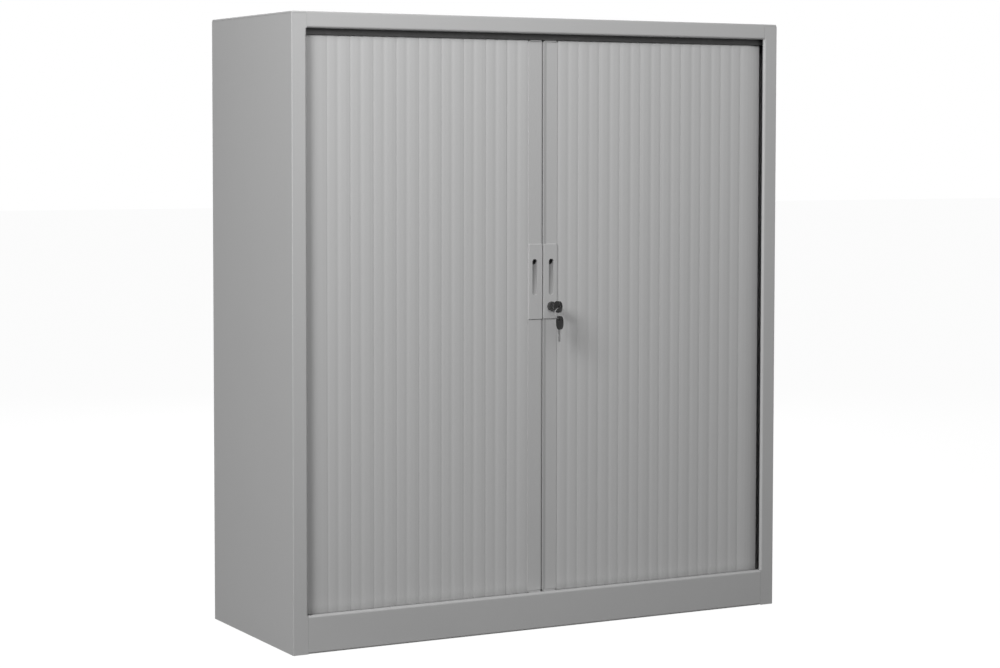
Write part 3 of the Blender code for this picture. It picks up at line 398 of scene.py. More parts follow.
@finish_called("Plated steel")
def plated_steel(finish):
    """Zinc plated steel: bright, with rolling scratches and slightly milky patches."""
    scratch = finish.noise(0.5, 4, 0.7, (0.05, 1, 1))
    milky = finish.noise(18, 4, 0.6)
    grain = finish.noise(0.6, 2)
    finish.coat(settings().colours.steel, 0.88 + 0.12 * milky + 0.08 * scratch,
                0.22 + 0.16 * milky + 0.08 * scratch, (scratch, 0.012, 0.5), (grain, 0.006, 0.4),
                metallic=1.0)


@finish_called("Polished steel")
def polished_steel(finish):
    """Nickel plated steel of blades and ring, with fine handling marks."""
    scratch = finish.noise(0.25, 4, 0.7, (1, 0.08, 1))
    smear = finish.noise(5, 3)
    finish.coat(settings().colours.steel, 0.96 + 0.06 * smear + 0.04 * scratch,
                0.26 + 0.12 * smear + 0.08 * scratch, (scratch, 0.006, 0.5), metallic=1.0)


def at_depth(depth):
    """The Y of a place this far behind the front plane."""
    return FRONT + depth


def lead_edge():
    """Where the first slat starts beside the lead stile, from the middle."""
    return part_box("right_lead_stile")[1].x + settings().sheet.fit


def slat_pitch():
    """Width of one slat: each piece holds two, and pieces lie side by side."""
    return (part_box("right_slats_05")[1].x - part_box("right_slats_04")[1].x) / 2


def join_points(shape, places, closed=False):
    """Adds a chain of vertices and the edges between them."""
    points = [shape.verts.new(place) for place in places]
    ends = points[1:] + points[:1] if closed else points[1:]
    edges = [shape.edges.new(pair) for pair in zip(points, ends)]
    return points, edges


def shifted(shape, grown, run):
    """Moves the vertices that an extrusion has added, and returns them."""
    moved = [item for item in grown["geom"] if isinstance(item, bmesh.types.BMVert)]
    bmesh.ops.translate(shape, verts=moved, vec=run)
    return moved


def round_edges(shape, edges, radius, steps):
    bmesh.ops.bevel(shape, geom=edges, offset=radius, offset_type="OFFSET", segments=steps, profile=0.5,
                    affect="EDGES", material=-1, clamp_overlap=True)


def face_outwards(shape):
    """Turns an open skin so that its faces look away from the middle of its box."""
    ends = [[pick(point.co[axis] for point in shape.verts) for axis in range(3)] for pick in (min, max)]
    middle = (Vector(ends[0]) + Vector(ends[1])) / 2
    shape.normal_update()
    away = [(face.calc_center_median() - middle).dot(face.normal) * face.calc_area() for face in shape.faces]
    if sum(away) < 0:
        bmesh.ops.reverse_faces(shape, faces=shape.faces[:])
    shape.normal_update()


def thicken(shape, thickness):
    """Gives a skin its wall, on the inside."""
    face_outwards(shape)
    bmesh.ops.solidify(shape, geom=shape.faces[:], thickness=thickness)
    bmesh.ops.remove_doubles(shape, verts=shape.verts[:], dist=MM / 1000)


def folded_sheet(corners, radii, run, thickness, steps=8):
    """A sheet bent round a chain of outer corners and drawn out along one direction."""
    shape = bmesh.new()
    points, edges = join_points(shape, corners)
    moved = set(shifted(shape, bmesh.ops.extrude_edge_only(shape, edges=edges), run))
    folds = [edge for point in points[1:-1] for edge in point.link_edges if edge.other_vert(point) in moved]
    for fold, radius in zip(folds, radii):
        round_edges(shape, [fold], radius, steps)
    thicken(shape, thickness)
    return shape


def channel(end, profile, radii, thickness, steps=8):
    """A sheet folded round a chain of (y, z), from -end to end along X."""
    return folded_sheet([(-end, *place) for place in profile], radii, (2 * end, 0, 0), thickness, steps)


def along(shape, axis):
    """The edges that run along this axis, to within 2 or 3 degrees."""
    return [edge for edge in shape.edges
            if abs((edge.verts[0].co - edge.verts[1].co).normalized()[axis]) > 0.999]


def at_level(items, axis, level):
    """The vertices, edges or faces that lie at this level of an axis."""
    return [item for item in items
            if all(abs(point.co[axis] - level) < MM / 100
                   for point in ([item] if isinstance(item, bmesh.types.BMVert) else item.verts))]


def block(corner, opposite):
    """A block between two opposite corners, in either order."""
    low, high = (Vector(tuple(map(pick, corner, opposite))) for pick in (min, max))
    shape = bmesh.new()
    bmesh.ops.create_cube(shape, size=1)
    bmesh.ops.scale(shape, verts=shape.verts, vec=high - low)
    bmesh.ops.translate(shape, verts=shape.verts, vec=(low + high) / 2)
    return shape


def plate(corner, opposite, normal_axis, radius, steps=8):
    """A flat plate between two corners, with the edges along its normal rounded."""
    shape = block(corner, opposite)
    half = min(abs(opposite[axis] - corner[axis]) for axis in range(3) if axis != normal_axis) / 2
    round_edges(shape, along(shape, normal_axis), min(radius, half - MM / 100), steps)
    bmesh.ops.remove_doubles(shape, verts=shape.verts[:], dist=MM / 20)
    return shape


def turned(profile, centre, axis="Y", steps=64, closed=False):
    """A profile of (radius, place along the axis) spun once round Y or Z through the centre."""
    shape = bmesh.new()
    join_points(shape, [(r, t, 0) if axis == "Y" else (r, 0, t) for r, t in profile], closed)
    bmesh.ops.spin(shape, geom=shape.verts[:] + shape.edges[:], cent=(0, 0, 0),
                   axis=(0, 1, 0) if axis == "Y" else (0, 0, 1), angle=2 * math.pi, steps=steps,
                   use_merge=True)
    bmesh.ops.remove_doubles(shape, verts=shape.verts[:], dist=MM / 100)
    bmesh.ops.recalc_face_normals(shape, faces=shape.faces[:])
    bmesh.ops.translate(shape, verts=shape.verts, vec=centre)
    return shape


def drum(radius, centre, low, high, axis="Y"):
    return turned([(0, low), (radius, low), (radius, high), (0, high)], centre, axis, 48)


def object_from(name, shape):
    mesh = bpy.data.meshes.new(name)
    shape.to_mesh(mesh)
    shape.free()
    item = bpy.data.objects.new(name, mesh)
    bpy.context.scene.collection.objects.link(item)
    return item


def combined(shape, operation, *tools):
    """A shape after Boolean work with other shapes, as a new shape."""
    item = object_from("worked", shape)
    helpers = [object_from("tool", tool) for tool in tools]
    for helper in helpers:
        modifier = item.modifiers.new("Boolean", "BOOLEAN")
        modifier.operation = operation
        modifier.object = helper
    seen = item.evaluated_get(bpy.context.evaluated_depsgraph_get())
    result = bmesh.new()
    result.from_mesh(seen.to_mesh())
    seen.to_mesh_clear()
    for extra in [item, *helpers]:
        mesh = extra.data
        bpy.data.objects.remove(extra)
        bpy.data.meshes.remove(mesh)
    bmesh.ops.remove_doubles(result, verts=result.verts[:], dist=MM / 1000)
    return result


def cut(shape, *tools):
    return combined(shape, "DIFFERENCE", *tools)


def weld(shape, *tools):
    return combined(shape, "UNION", *tools)


def fitted(name, shape, material, body, nodes=(), edge=0.0, angle=35, segments=2):
    """Makes a finished piece of a shape: smooth, with soft edges, on its body and in its nodes' place."""
    item = object_from(name, shape)
    item.data.materials.append(material)
    item.data.shade_smooth()
    item.data.set_sharp_from_angle(angle=math.radians(angle))
    if edge:
        bevel = item.modifiers.new("Soft edges", "BEVEL")
        bevel.width = edge
        bevel.segments = segments
        bevel.limit_method = "ANGLE"
        bevel.angle_limit = math.radians(angle)
    weights = item.modifiers.new("Even shading", "WEIGHTED_NORMAL")
    weights.keep_sharp = not edge
    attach(item, body)
    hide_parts(*nodes)
    return item


def fit_panel(name, shape, sizes):
    """Fits a painted piece of the carcass in place of its panel."""
    fitted(name, shape, body_paint(), "carcass", [f"{name}_panel"], sizes.edge)


def dress(material, *names):
    """Gives nodes that stay as they are their finish."""
    for name in names:
        mesh = frame["nodes"][name].data
        mesh.materials.clear()
        mesh.materials.append(material)


class CabinetOperator:
    """What the operators share."""

    bl_options = {"REGISTER", "UNDO"}

    def execute(self, context):
        self.build(context.scene.tambour_cabinet)
        return {"FINISHED"}


class CABINET_OT_side_panels(CabinetOperator, bpy.types.Operator):
    """Fold each side panel with its jamb, rolled inner edge and rear flange"""

    bl_idname = "cabinet.side_panels"
    bl_label = "Side Panels"

    def build(self, chosen):
        sizes = chosen.sheet
        radii = [sizes.roll, sizes.corner, sizes.corner]
        for word, side in SIDES.items():
            corners = [
                (side * OPENING_HALF, at_depth(sizes.jamb_return), 0),
                (side * OPENING_HALF, FRONT, 0),
                (side * HALF_WIDTH, FRONT, 0),
                (side * HALF_WIDTH, BACK, 0),
                (side * (HALF_WIDTH - sizes.back_flange), BACK, 0),
            ]
            shape = folded_sheet(corners, radii, (0, 0, SIDE_TOP), sizes.sheet)
            shape = weld(cut(shape, *self.notches(side, sizes)), *self.tabs(side, sizes))
            fit_panel(f"{word}_side", shape, sizes)

    def notches(self, side, sizes):
        """Blocks that take the rolled edge away beside the plinth and the rail."""
        front, rear = at_depth(-sizes.roll), at_depth(2 * sizes.jamb_return)
        for low, high in ((-sizes.roll, PLINTH_TOP), (RAIL_BOTTOM, HEIGHT)):
            yield block((side * (OPENING_HALF - sizes.roll), front, low),
                        (side * (OPENING_HALF + sizes.roll), rear, high))

    def tabs(self, side, sizes):
        """The flat ends of the jamb, which meet the plinth and the rail in one plane."""
        outer = OPENING_HALF + sizes.roll + sizes.sheet
        for low, high in ((0, PLINTH_TOP), (RAIL_BOTTOM, SIDE_TOP)):
            yield block((side * OPENING_HALF, FRONT, low), (side * outer, at_depth(sizes.sheet), high))


class CABINET_OT_top_panel(CabinetOperator, bpy.types.Operator):
    """Press the top panel and fold the front rail and the soffit under it"""

    bl_idname = "cabinet.top_panel"
    bl_label = "Top Panel"

    def build(self, chosen):
        sizes = chosen.sheet
        fit_panel("top", weld(self.lid(sizes), self.rail(sizes), self.soffit(sizes)), sizes)

    def lid(self, sizes):
        lip = HEIGHT - sizes.top_lip
        shape = plate((-HALF_WIDTH, FRONT, lip), (HALF_WIDTH, BACK, HEIGHT), 2, sizes.top_edge + sizes.sheet)
        round_edges(shape, at_level(shape.edges, 2, HEIGHT), sizes.top_edge, 8)
        bmesh.ops.delete(shape, geom=at_level(shape.faces, 2, lip), context="FACES")
        thicken(shape, sizes.sheet)
        return shape

    def rail(self, sizes):
        rear = at_depth(sizes.rail_depth)
        upturn = RAIL_BOTTOM + sizes.soffit_rise + sizes.sheet / 2
        profile = [(FRONT, HEIGHT - sizes.top_edge), (FRONT, RAIL_BOTTOM), (rear, RAIL_BOTTOM),
                   (rear, upturn)]
        return channel(OPENING_HALF - sizes.fit, profile, [sizes.roll, sizes.bend], sizes.sheet)

    def soffit(self, sizes):
        front = at_depth(sizes.rail_depth) - sizes.sheet
        rear = BACK - sizes.sheet - sizes.fit
        top = HEIGHT - sizes.sheet / 2
        low = RAIL_BOTTOM + sizes.soffit_rise
        profile = [(front, top), (front, low), (rear, low), (rear, top)]
        return channel(HALF_WIDTH - sizes.corner, profile, [sizes.sheet] * 2, sizes.sheet, 4)


class CABINET_OT_base_panel(CabinetOperator, bpy.types.Operator):
    """Fold the plinth and the floor of the cabinet, with the bosses of its feet"""

    bl_idname = "cabinet.base_panel"
    bl_label = "Base Panel"

    boss_radius: length("Boss radius", "Radius of the threaded bosses", 10)
    boss_height: length("Boss height", "Height of the threaded bosses", 18)

    def build(self, chosen):
        sizes = chosen.sheet
        floor = PLINTH_TOP - sizes.floor_drop
        bosses = self.drums(self.boss_radius, 0.0, floor, sizes)
        holes = self.drums(self.spindle_radius() + sizes.fit, sizes.sheet, floor, sizes)
        shape = weld(self.plinth(floor, sizes), self.floor(floor, sizes), *bosses)
        fit_panel("base", cut(shape, *holes), sizes)

    def spindle_radius(self):
        """The spindle of a foot, from the points at its upper end."""
        name = "levelling_foot_front_left"
        low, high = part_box(name)
        centre = (low + high) / 2
        top = [point.co - centre for point in frame["nodes"][name].data.vertices if high.z - point.co.z < MM]
        return max(point.xy.length for point in top)

    def plinth(self, floor, sizes):
        rear = at_depth(sizes.rail_depth)
        profile = [(at_depth(sizes.floor_return), 0), (FRONT, 0), (FRONT, PLINTH_TOP), (rear, PLINTH_TOP),
                   (rear, floor - sizes.sheet)]
        return channel(OPENING_HALF - sizes.fit, profile, [sizes.roll, sizes.roll, sizes.bend], sizes.sheet)

    def floor(self, floor, sizes):
        rear = BACK - sizes.sheet - sizes.fit
        profile = [(rear - sizes.floor_return, 0), (rear, 0), (rear, floor),
                   (at_depth(sizes.rail_depth) - sizes.sheet / 2, floor)]
        return channel(HALF_WIDTH - sizes.corner, profile, [sizes.bend] * 2, sizes.sheet)

    def drums(self, radius, overrun, floor, sizes):
        low = floor - self.boss_height - overrun
        high = floor - sizes.sheet / 2 + 2 * overrun
        for name in ("front_left", "front_right", "rear_left", "rear_right"):
            start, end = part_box(f"levelling_foot_{name}")
            middle = (start + end) / 2
            yield drum(radius, Vector((middle.x, middle.y, 0)), low, high, "Z")


class CABINET_OT_back_panel(CabinetOperator, bpy.types.Operator):
    """Fit the flat back sheet between the rear flanges"""

    bl_idname = "cabinet.back_panel"
    bl_label = "Back Panel"

    def build(self, chosen):
        fit_panel("back", block(*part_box("back_panel")), chosen.sheet)


class CABINET_OT_linings(CabinetOperator, bpy.types.Operator):
    """Finish the liners and the inner back between the shelves and the curtains' pockets"""

    bl_idname = "cabinet.linings"
    bl_label = "Linings"

    def build(self, chosen):
        dress(inner_paint(), "left_liner", "right_liner", "inner_back_panel")


class CABINET_OT_tracks(CabinetOperator, bpy.types.Operator):
    """Finish the grooved tracks and the rubber buffers in them"""

    bl_idname = "cabinet.tracks"
    bl_label = "Tracks"

    def build(self, chosen):
        dress(track_plastic(), "top_track")
        dress(inner_paint(), "bottom_track")
        dress(rubber(), "left_door_stop", "right_door_stop")


class CABINET_OT_shelves(CabinetOperator, bpy.types.Operator):
    """Finish the shelves and the brackets that carry them"""

    bl_idname = "cabinet.shelves"
    bl_label = "Shelves"

    def build(self, chosen):
        shelves = [name for name in frame["nodes"] if name.startswith("shelf_") and "bracket" not in name]
        dress(inner_paint(), *shelves)
        dress(plated_steel(), *[name for name in frame["nodes"] if "bracket" in name])


class CABINET_OT_feet(CabinetOperator, bpy.types.Operator):
    """Finish the four levelling feet"""

    bl_idname = "cabinet.feet"
    bl_label = "Levelling Feet"

    def build(self, chosen):
        dress(foot_plastic(), *[name for name in frame["nodes"] if name.startswith("levelling_foot")])


class CABINET_OT_curtains(CabinetOperator, bpy.types.Operator):
    """Extrude the slats of both curtains, two to a piece, with the scarfs they slide along"""

    bl_idname = "cabinet.curtains"
    bl_label = "Slat Curtains"

    crown_steps: bpy.props.IntProperty(name="Crown steps", description="Faces across one slat",
                                       default=22, min=4)
    crown_shape: bpy.props.FloatProperty(name="Crown shape", description="Narrows the valleys between slats",
                                         default=1.7, min=1)
    end_turn: bpy.props.FloatProperty(name="End slat turn", description="How far the last slat has turned in",
                                      default=math.radians(10), subtype="ANGLE")

    def build(self, chosen):
        self.crown = chosen.curtain.crown
        self.pitch = slat_pitch()
        self.count = sum(name.startswith("right_slats") for name in frame["nodes"])
        low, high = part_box("right_slats_02")
        self.thickness = high.y - low.y
        drift = self.drifts()
        for word, side in SIDES.items():
            for number in range(1, self.count + 1):
                node = f"{word}_slats_{number:02d}"
                outline = self.outline(number, drift, chosen.sheet.fit)
                shape = self.extruded(outline, side, number, low, high)
                body = f"{word}_door" if number == 1 else node
                fitted(f"{word}_slat_pair_{number:02d}", shape, slat_plastic(), body,
                       [node], 0.0, 25)

    def drifts(self):
        """How far each piece has gone back when its door is fully open, from its own slide."""
        found = {1: 0.0}
        for joint in frame["joints"]:
            if joint["child"].startswith("right_slats"):
                found[int(joint["child"][-2:])] = joint["axis"][1] * joint["range_m"][1]
        return found

    def front(self, start, width):
        """The crowned face of one slat, with the soft valley at each side, as (across, depth)."""
        places = []
        for step in range(self.crown_steps + 1):
            across = width * step / self.crown_steps
            share = abs(across - self.pitch / 2) / (self.pitch / 2)
            wave = (1 - math.cos(math.pi * share ** self.crown_shape)) / 2
            places.append((start + across, self.crown * wave))
        return places

    def outline(self, number, drift, fit):
        """A pair of slats in plan, whose scarfs lie along the way the next pair slides behind it."""
        pair = 2 * self.pitch
        inner = 0.0
        if number > 1:
            inner = (self.crown - self.thickness) * pair / (drift[number] - drift[number - 1])
        places = [(inner, self.thickness)] + self.front(0, self.pitch)
        if number < self.count:
            step = drift[number + 1] - drift[number]
            gap = fit / math.sin(math.atan2(step, pair))
            places += self.front(self.pitch, self.pitch - gap)[1:]
            run = (self.thickness - places[-1][1]) * pair / step
            places.append((places[-1][0] - run, self.thickness))
            return places
        end_slat = self.front(self.pitch, self.pitch)[1:] + [(pair, self.thickness)]
        pivot = Vector((self.pitch, self.crown))
        spin = Matrix.Rotation(self.end_turn, 2)
        places += [tuple(pivot + spin @ (Vector(place) - pivot)) for place in end_slat]
        tuck = (self.thickness - self.crown) * math.tan(self.end_turn / 2)
        places.append((self.pitch - tuck, self.thickness))
        return places

    def extruded(self, outline, side, number, low, high):
        start = lead_edge() + (number - 1) * 2 * self.pitch
        shape = bmesh.new()
        corners = [(side * (start + across), low.y + depth, low.z) for across, depth in outline]
        face = shape.faces.new([shape.verts.new(corner) for corner in corners])
        shifted(shape, bmesh.ops.extrude_face_region(shape, geom=[face]), (0, 0, high.z - low.z))
        bmesh.ops.recalc_face_normals(shape, faces=shape.faces[:])
        return shape


def grip_block(sizes, side, rise, growth, depth, overrun=OVERRUN):
    """An upright round-ended block at the grip, from before the handle's face to this depth."""
    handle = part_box("right_handle")[0]
    half = sizes.grip_width / 2 + growth
    bottom = handle.z + sizes.grip_rise + rise
    top = handle.z + sizes.grip_rise + sizes.grip_height
    near = (side * (sizes.grip_offset - half), handle.y - overrun, bottom - growth)
    far = (side * (sizes.grip_offset + half), handle.y + depth, top + growth)
    return plate(near, far, 1, half, 12)


def lock_axis():
    """Where the lock's axis meets its face."""
    low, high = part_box("lock_body")
    return Vector(((low.x + high.x) / 2, low.y, (low.z + high.z) / 2))


def barrel_hole(chosen, depth):
    """What the lock's barrel takes out of the right door, from the lock's face to this depth."""
    return drum(chosen.lock.barrel + chosen.sheet.fit, lock_axis(), 0, depth)


def hook_slot(side):
    """Where the hook swings through the meeting walls, from the lock's axis and the hook itself."""
    room, drop, inner, outer = 0.6 * MM, 8 * MM, -1 * MM, 3 * MM
    low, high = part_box("lock_hook")
    axis = lock_axis()
    return block((side * inner, low.y - room, low.z - drop),
                 (side * outer, high.y + room, axis.z + high.x - axis.x))


class CABINET_OT_lead_stiles(CabinetOperator, bpy.types.Operator):
    """Extrude the hollow lead stiles and cut their windows, and finish their caps"""

    bl_idname = "cabinet.lead_stiles"
    bl_label = "Lead Stiles"

    barrel_depth: length("Barrel depth", "Depth of the barrel's hole, from the lock's face", 8)
    edge: length("Edge", "Rounding of the stile's cut edges", 0.2)

    def build(self, chosen):
        sizes = chosen.curtain
        window = sizes.handle_plate + sizes.stile_wall + OVERRUN
        for word, side in SIDES.items():
            node = f"{word}_lead_stile"
            tools = [grip_block(sizes, side, 0.0, sizes.cup_wall + chosen.sheet.fit, window), hook_slot(side)]
            if side > 0:
                tools.append(barrel_hole(chosen, self.barrel_depth))
            shape = cut(self.tube(*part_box(node), side, sizes), *tools)
            fitted(f"{word}_stile", shape, stile_lacquer(), f"{word}_door", [node],
                   self.edge)
            dress(handle_plastic(), f"{word}_top_shoe", f"{word}_bottom_shoe")

    def tube(self, low, high, side, sizes):
        near, far = (low.x, high.x) if side > 0 else (high.x, low.x)
        corners = [(near, low.y, low.z), (far, low.y, low.z), (far, high.y, low.z), (near, high.y, low.z)]
        shape = bmesh.new()
        edges = join_points(shape, corners, True)[1]
        shifted(shape, bmesh.ops.extrude_edge_only(shape, edges=edges), (0, 0, high.z - low.z))
        meeting = self.edges_at(shape, near, low.y)
        round_edges(shape, [edge for edge in along(shape, 2) if edge not in meeting], sizes.stile_edge, 6)
        round_edges(shape, self.edges_at(shape, near, low.y), sizes.meeting, 10)
        thicken(shape, sizes.stile_wall)
        return shape

    def edges_at(self, shape, x, y):
        """The upright edges at this place in plan."""
        return [edge for edge in along(shape, 2) if (edge.verts[0].co.xy - Vector((x, y))).length < MM / 10]


class CABINET_OT_handles(CabinetOperator, bpy.types.Operator):
    """Mould the handle plates with their finger grooves and pockets"""

    bl_idname = "cabinet.handles"
    bl_label = "Handles"

    barrel_depth: length("Barrel depth", "Depth of the barrel's hole, from the lock's face", 12)
    edge: length("Edge", "Rounding of the plate's other edges", 0.3)

    def build(self, chosen):
        sizes = chosen.curtain
        for word, side in SIDES.items():
            node = f"{word}_handle"
            low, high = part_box(node)
            face = low.y + sizes.handle_inset
            rear = low.y + sizes.handle_plate
            shape = plate((low.x, face, low.z), (high.x, rear, high.z), 1, sizes.handle_corner)
            round_edges(shape, at_level(shape.edges, 1, face), sizes.handle_rim, 5)
            cup = grip_block(sizes, side, 0.0, sizes.cup_wall, sizes.grip_pocket + sizes.cup_wall,
                             -sizes.handle_inset - sizes.handle_rim)
            shape = cut(weld(shape, cup), self.groove(sizes, side), self.pocket(sizes, side))
            if side > 0:
                shape = cut(shape, barrel_hole(chosen, self.barrel_depth))
            fitted(f"{word}_grip_handle", shape, handle_plastic(), f"{word}_door",
                   [node], self.edge, 40, 3)

    def groove(self, sizes, side):
        shape = grip_block(sizes, side, 0.0, 0.0, sizes.grip_shallow)
        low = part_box("right_handle")[0]
        bottom = low.z + sizes.grip_rise
        slope = (sizes.grip_slope - sizes.grip_shallow) / sizes.grip_height
        for point in at_level(shape.verts, 1, low.y + sizes.grip_shallow):
            point.co.y += (point.co.z - bottom) * slope
        return shape

    def pocket(self, sizes, side):
        return grip_block(sizes, side, sizes.grip_height - sizes.grip_width, 0.0, sizes.grip_pocket)


class CABINET_OT_lock(CabinetOperator, bpy.types.Operator):
    """Turn the lock's body and plug, and finish its hook and strike"""

    bl_idname = "cabinet.lock"
    bl_label = "Lock"

    lip: length("Lip", "Bevel round the plug's bore", 0.3)
    case_edge: length("Case edge", "Rounding of the body's edges", 0.15)
    core_edge: length("Core edge", "Rounding of the plug's edges", 0.12)

    def build(self, chosen):
        sizes = chosen.lock
        fit = chosen.sheet.fit
        axis = lock_axis()
        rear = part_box("lock_body")[1].y - axis.y
        bore = sizes.plug + fit
        edge = sizes.bezel_edge
        profile = [(bore, rear), (bore, self.lip), (bore + self.lip, 0), (sizes.bezel - edge, 0),
                   (sizes.bezel - edge / 3, edge / 3), (sizes.bezel, edge), (sizes.bezel, sizes.bezel_height),
                   (sizes.barrel, sizes.bezel_height), (sizes.barrel, rear)]
        fitted("lock_case", turned(profile, axis, "Y", 96, True), lock_lacquer(), "right_door",
               ["lock_body"], self.case_edge)
        fitted("lock_core", self.plug(sizes, axis, fit), lock_lacquer(), "lock_cylinder",
               ["lock_plug"], self.core_edge)
        dress(plated_steel(), "lock_hook", "lock_strike")

    def plug(self, sizes, axis, fit):
        low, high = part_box("lock_plug")
        sink, rear = low.y - axis.y, high.y - axis.y
        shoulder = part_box("lock_hook")[0].y - fit - axis.y
        profile = [(0, sink), (sizes.plug, sink), (sizes.plug, shoulder), (sizes.tail, shoulder),
                   (sizes.tail, rear), (0, rear)]
        across = Vector((sizes.blade_thickness, 0, sizes.blade_width)) / 2 + Vector((fit, 0, fit))
        keyway = block(axis - across - Vector((0, OVERRUN, 0)),
                       axis + across + Vector((0, sizes.blade + fit, 0)))
        return cut(turned(profile, axis), keyway)


class CABINET_OT_keys(CabinetOperator, bpy.types.Operator):
    """Mould the bows of both keys, mill their blades and coil the ring that joins them"""

    bl_idname = "cabinet.keys"
    bl_label = "Keys"

    rim_slope: length("Rim slope", "Width of the slope inside the bow's rim", 0.4)
    rim_height: length("Rim height", "Height of the rim over the bow's face", 0.45)
    neck_corner: length("Neck corner", "Radius of the neck's corners", 1.2)
    overlap: length("Overlap", "How far the blade starts inside the neck", 2)
    neck_gap: length("Neck gap", "Gap between the neck and the lock's face", 0.3)
    groove_start: length("Groove start", "Where the blade's grooves start", 2.5)
    first_cut: length("First cut", "Where the first cut of the blade lies", 5)
    cut_pitch: length("Cut pitch", "Distance from one cut to the next", 3.4)
    cut_half: length("Cut half width", "Half the width of a cut at its mouth", 1.5)
    bow_edge: length("Bow edge", "Rounding of the bow's edges", 0.25)
    blade_edge: length("Blade edge", "Rounding of the blade's edges", 0.1)
    ring_edge: length("Ring edge", "Rounding of the ring's wire", 0.15)

    def build(self, chosen):
        sizes = chosen.lock
        axis = lock_axis()
        hole = Vector((axis.x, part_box("key")[0].y + sizes.hole_inset, axis.z))
        self.key("key", "key", "lock_cylinder", sizes, Matrix.Translation(hole))
        low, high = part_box("spare_key")
        hang = Vector((axis.x, (low.y + high.y) / 2, high.z - sizes.hole_inset))
        turn = Matrix.Translation(hang) @ Matrix.Rotation(-math.pi / 2, 4, "X")
        self.key("spare", "spare_key", "spare_key", sizes, turn)
        self.ring(sizes)

    def key(self, name, node, body, sizes, place):
        bow = self.bow(sizes)
        bow.transform(place)
        fitted(f"{name}_bow", bow, key_plastic(), body, [node], self.bow_edge, 40, 3)
        blade = self.blade(sizes)
        blade.transform(place)
        fitted(f"{name}_blade", blade, polished_steel(), body, (), self.blade_edge)

    def bow(self, sizes):
        """The bow along +Y from the middle of its hole, flat across X, with a raised rim."""
        start = -sizes.hole_inset
        end = start + sizes.bow_length
        half = Vector((sizes.bow_thickness, 0, sizes.bow_width)) / 2
        shape = plate((-half.x, start, -half.z), (half.x, end, half.z), 0, sizes.bow_corner, 10)
        for side in SIDES.values():
            caps = at_level(shape.faces, 0, side * half.x)
            bmesh.ops.inset_region(shape, faces=caps, thickness=sizes.bow_rim, use_even_offset=True)
            bmesh.ops.inset_region(shape, faces=caps, thickness=self.rim_slope, depth=-self.rim_height,
                                   use_even_offset=True)
        eye = drum(1, (0, 0, 0), -1, 1)
        eye.transform(Matrix.Rotation(math.pi / 2, 4, "Z") @ Matrix.Diagonal(
            (sizes.bow_hole, 2 * half.x, sizes.bow_hole, 1)))
        return cut(shape, eye)

    def blade(self, sizes):
        """The milled blade and its neck, with a groove along each face and cuts along its lower edge."""
        groove_shares = {"depth": 0.55, "low": 0.15, "high": 0.5}
        cut_shares = (0.6, 1.0, 0.4, 0.8)
        root = sizes.bow_length - sizes.hole_inset
        start = root + sizes.neck - self.overlap
        end = start + self.overlap + sizes.blade
        half = Vector((sizes.blade_thickness, 0, sizes.blade_width)) / 2
        wide = Vector((sizes.neck_thickness, 0, sizes.neck_width)) / 2
        neck = plate((-wide.x, root - sizes.bow_rim, -wide.z),
                     (wide.x, start + self.overlap - self.neck_gap, wide.z), 0, self.neck_corner, 4)
        shape = weld(block((-half.x, start, -half.z), (half.x, end, half.z)), neck)
        tools = []
        for side in SIDES.values():
            inner = (side * half.x * groove_shares["depth"], start + self.groove_start,
                     side * half.z * groove_shares["low"])
            tools.append(block(inner, (side * half.x * 2, end + MM, side * half.z * groove_shares["high"])))
        for index, share in enumerate(cut_shares):
            middle = start + self.first_cut + index * self.cut_pitch
            tools.append(self.notch(middle, -half.z, share * sizes.cut_depth, half.x))
        return cut(shape, *tools)

    def notch(self, middle, edge, depth, half):
        floor_share = 0.3
        shape = block((-2 * half, middle - self.cut_half, edge - MM),
                      (2 * half, middle + self.cut_half, edge + depth))
        for point in shape.verts:
            if point.co.z > edge:
                point.co.y = middle + (point.co.y - middle) * floor_share
        return shape

    def ring(self, sizes):
        """A split ring: two turns of flat wire wound side by side."""
        low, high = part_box("key_ring")
        half = sizes.wire / 4
        steps = 144
        shape = bmesh.new()
        section = [(sizes.ring - 2 * half, -half, 0), (sizes.ring + 2 * half, -half, 0),
                   (sizes.ring + 2 * half, half, 0), (sizes.ring - 2 * half, half, 0)]
        face = shape.faces.new([shape.verts.new(place) for place in section])
        bmesh.ops.spin(shape, geom=[face], cent=(0, 0, 0), axis=(0, 1, 0), angle=4 * math.pi, steps=steps,
                       dvec=(0, 2 * half / (steps / 2), 0))
        bmesh.ops.translate(shape, verts=shape.verts, vec=(0, -half, 0))
        bmesh.ops.recalc_face_normals(shape, faces=shape.faces[:])
        bmesh.ops.translate(shape, verts=shape.verts, vec=(low + high) / 2)
        fitted("split_ring", shape, polished_steel(), "key_ring", ["key_ring"], self.ring_edge)


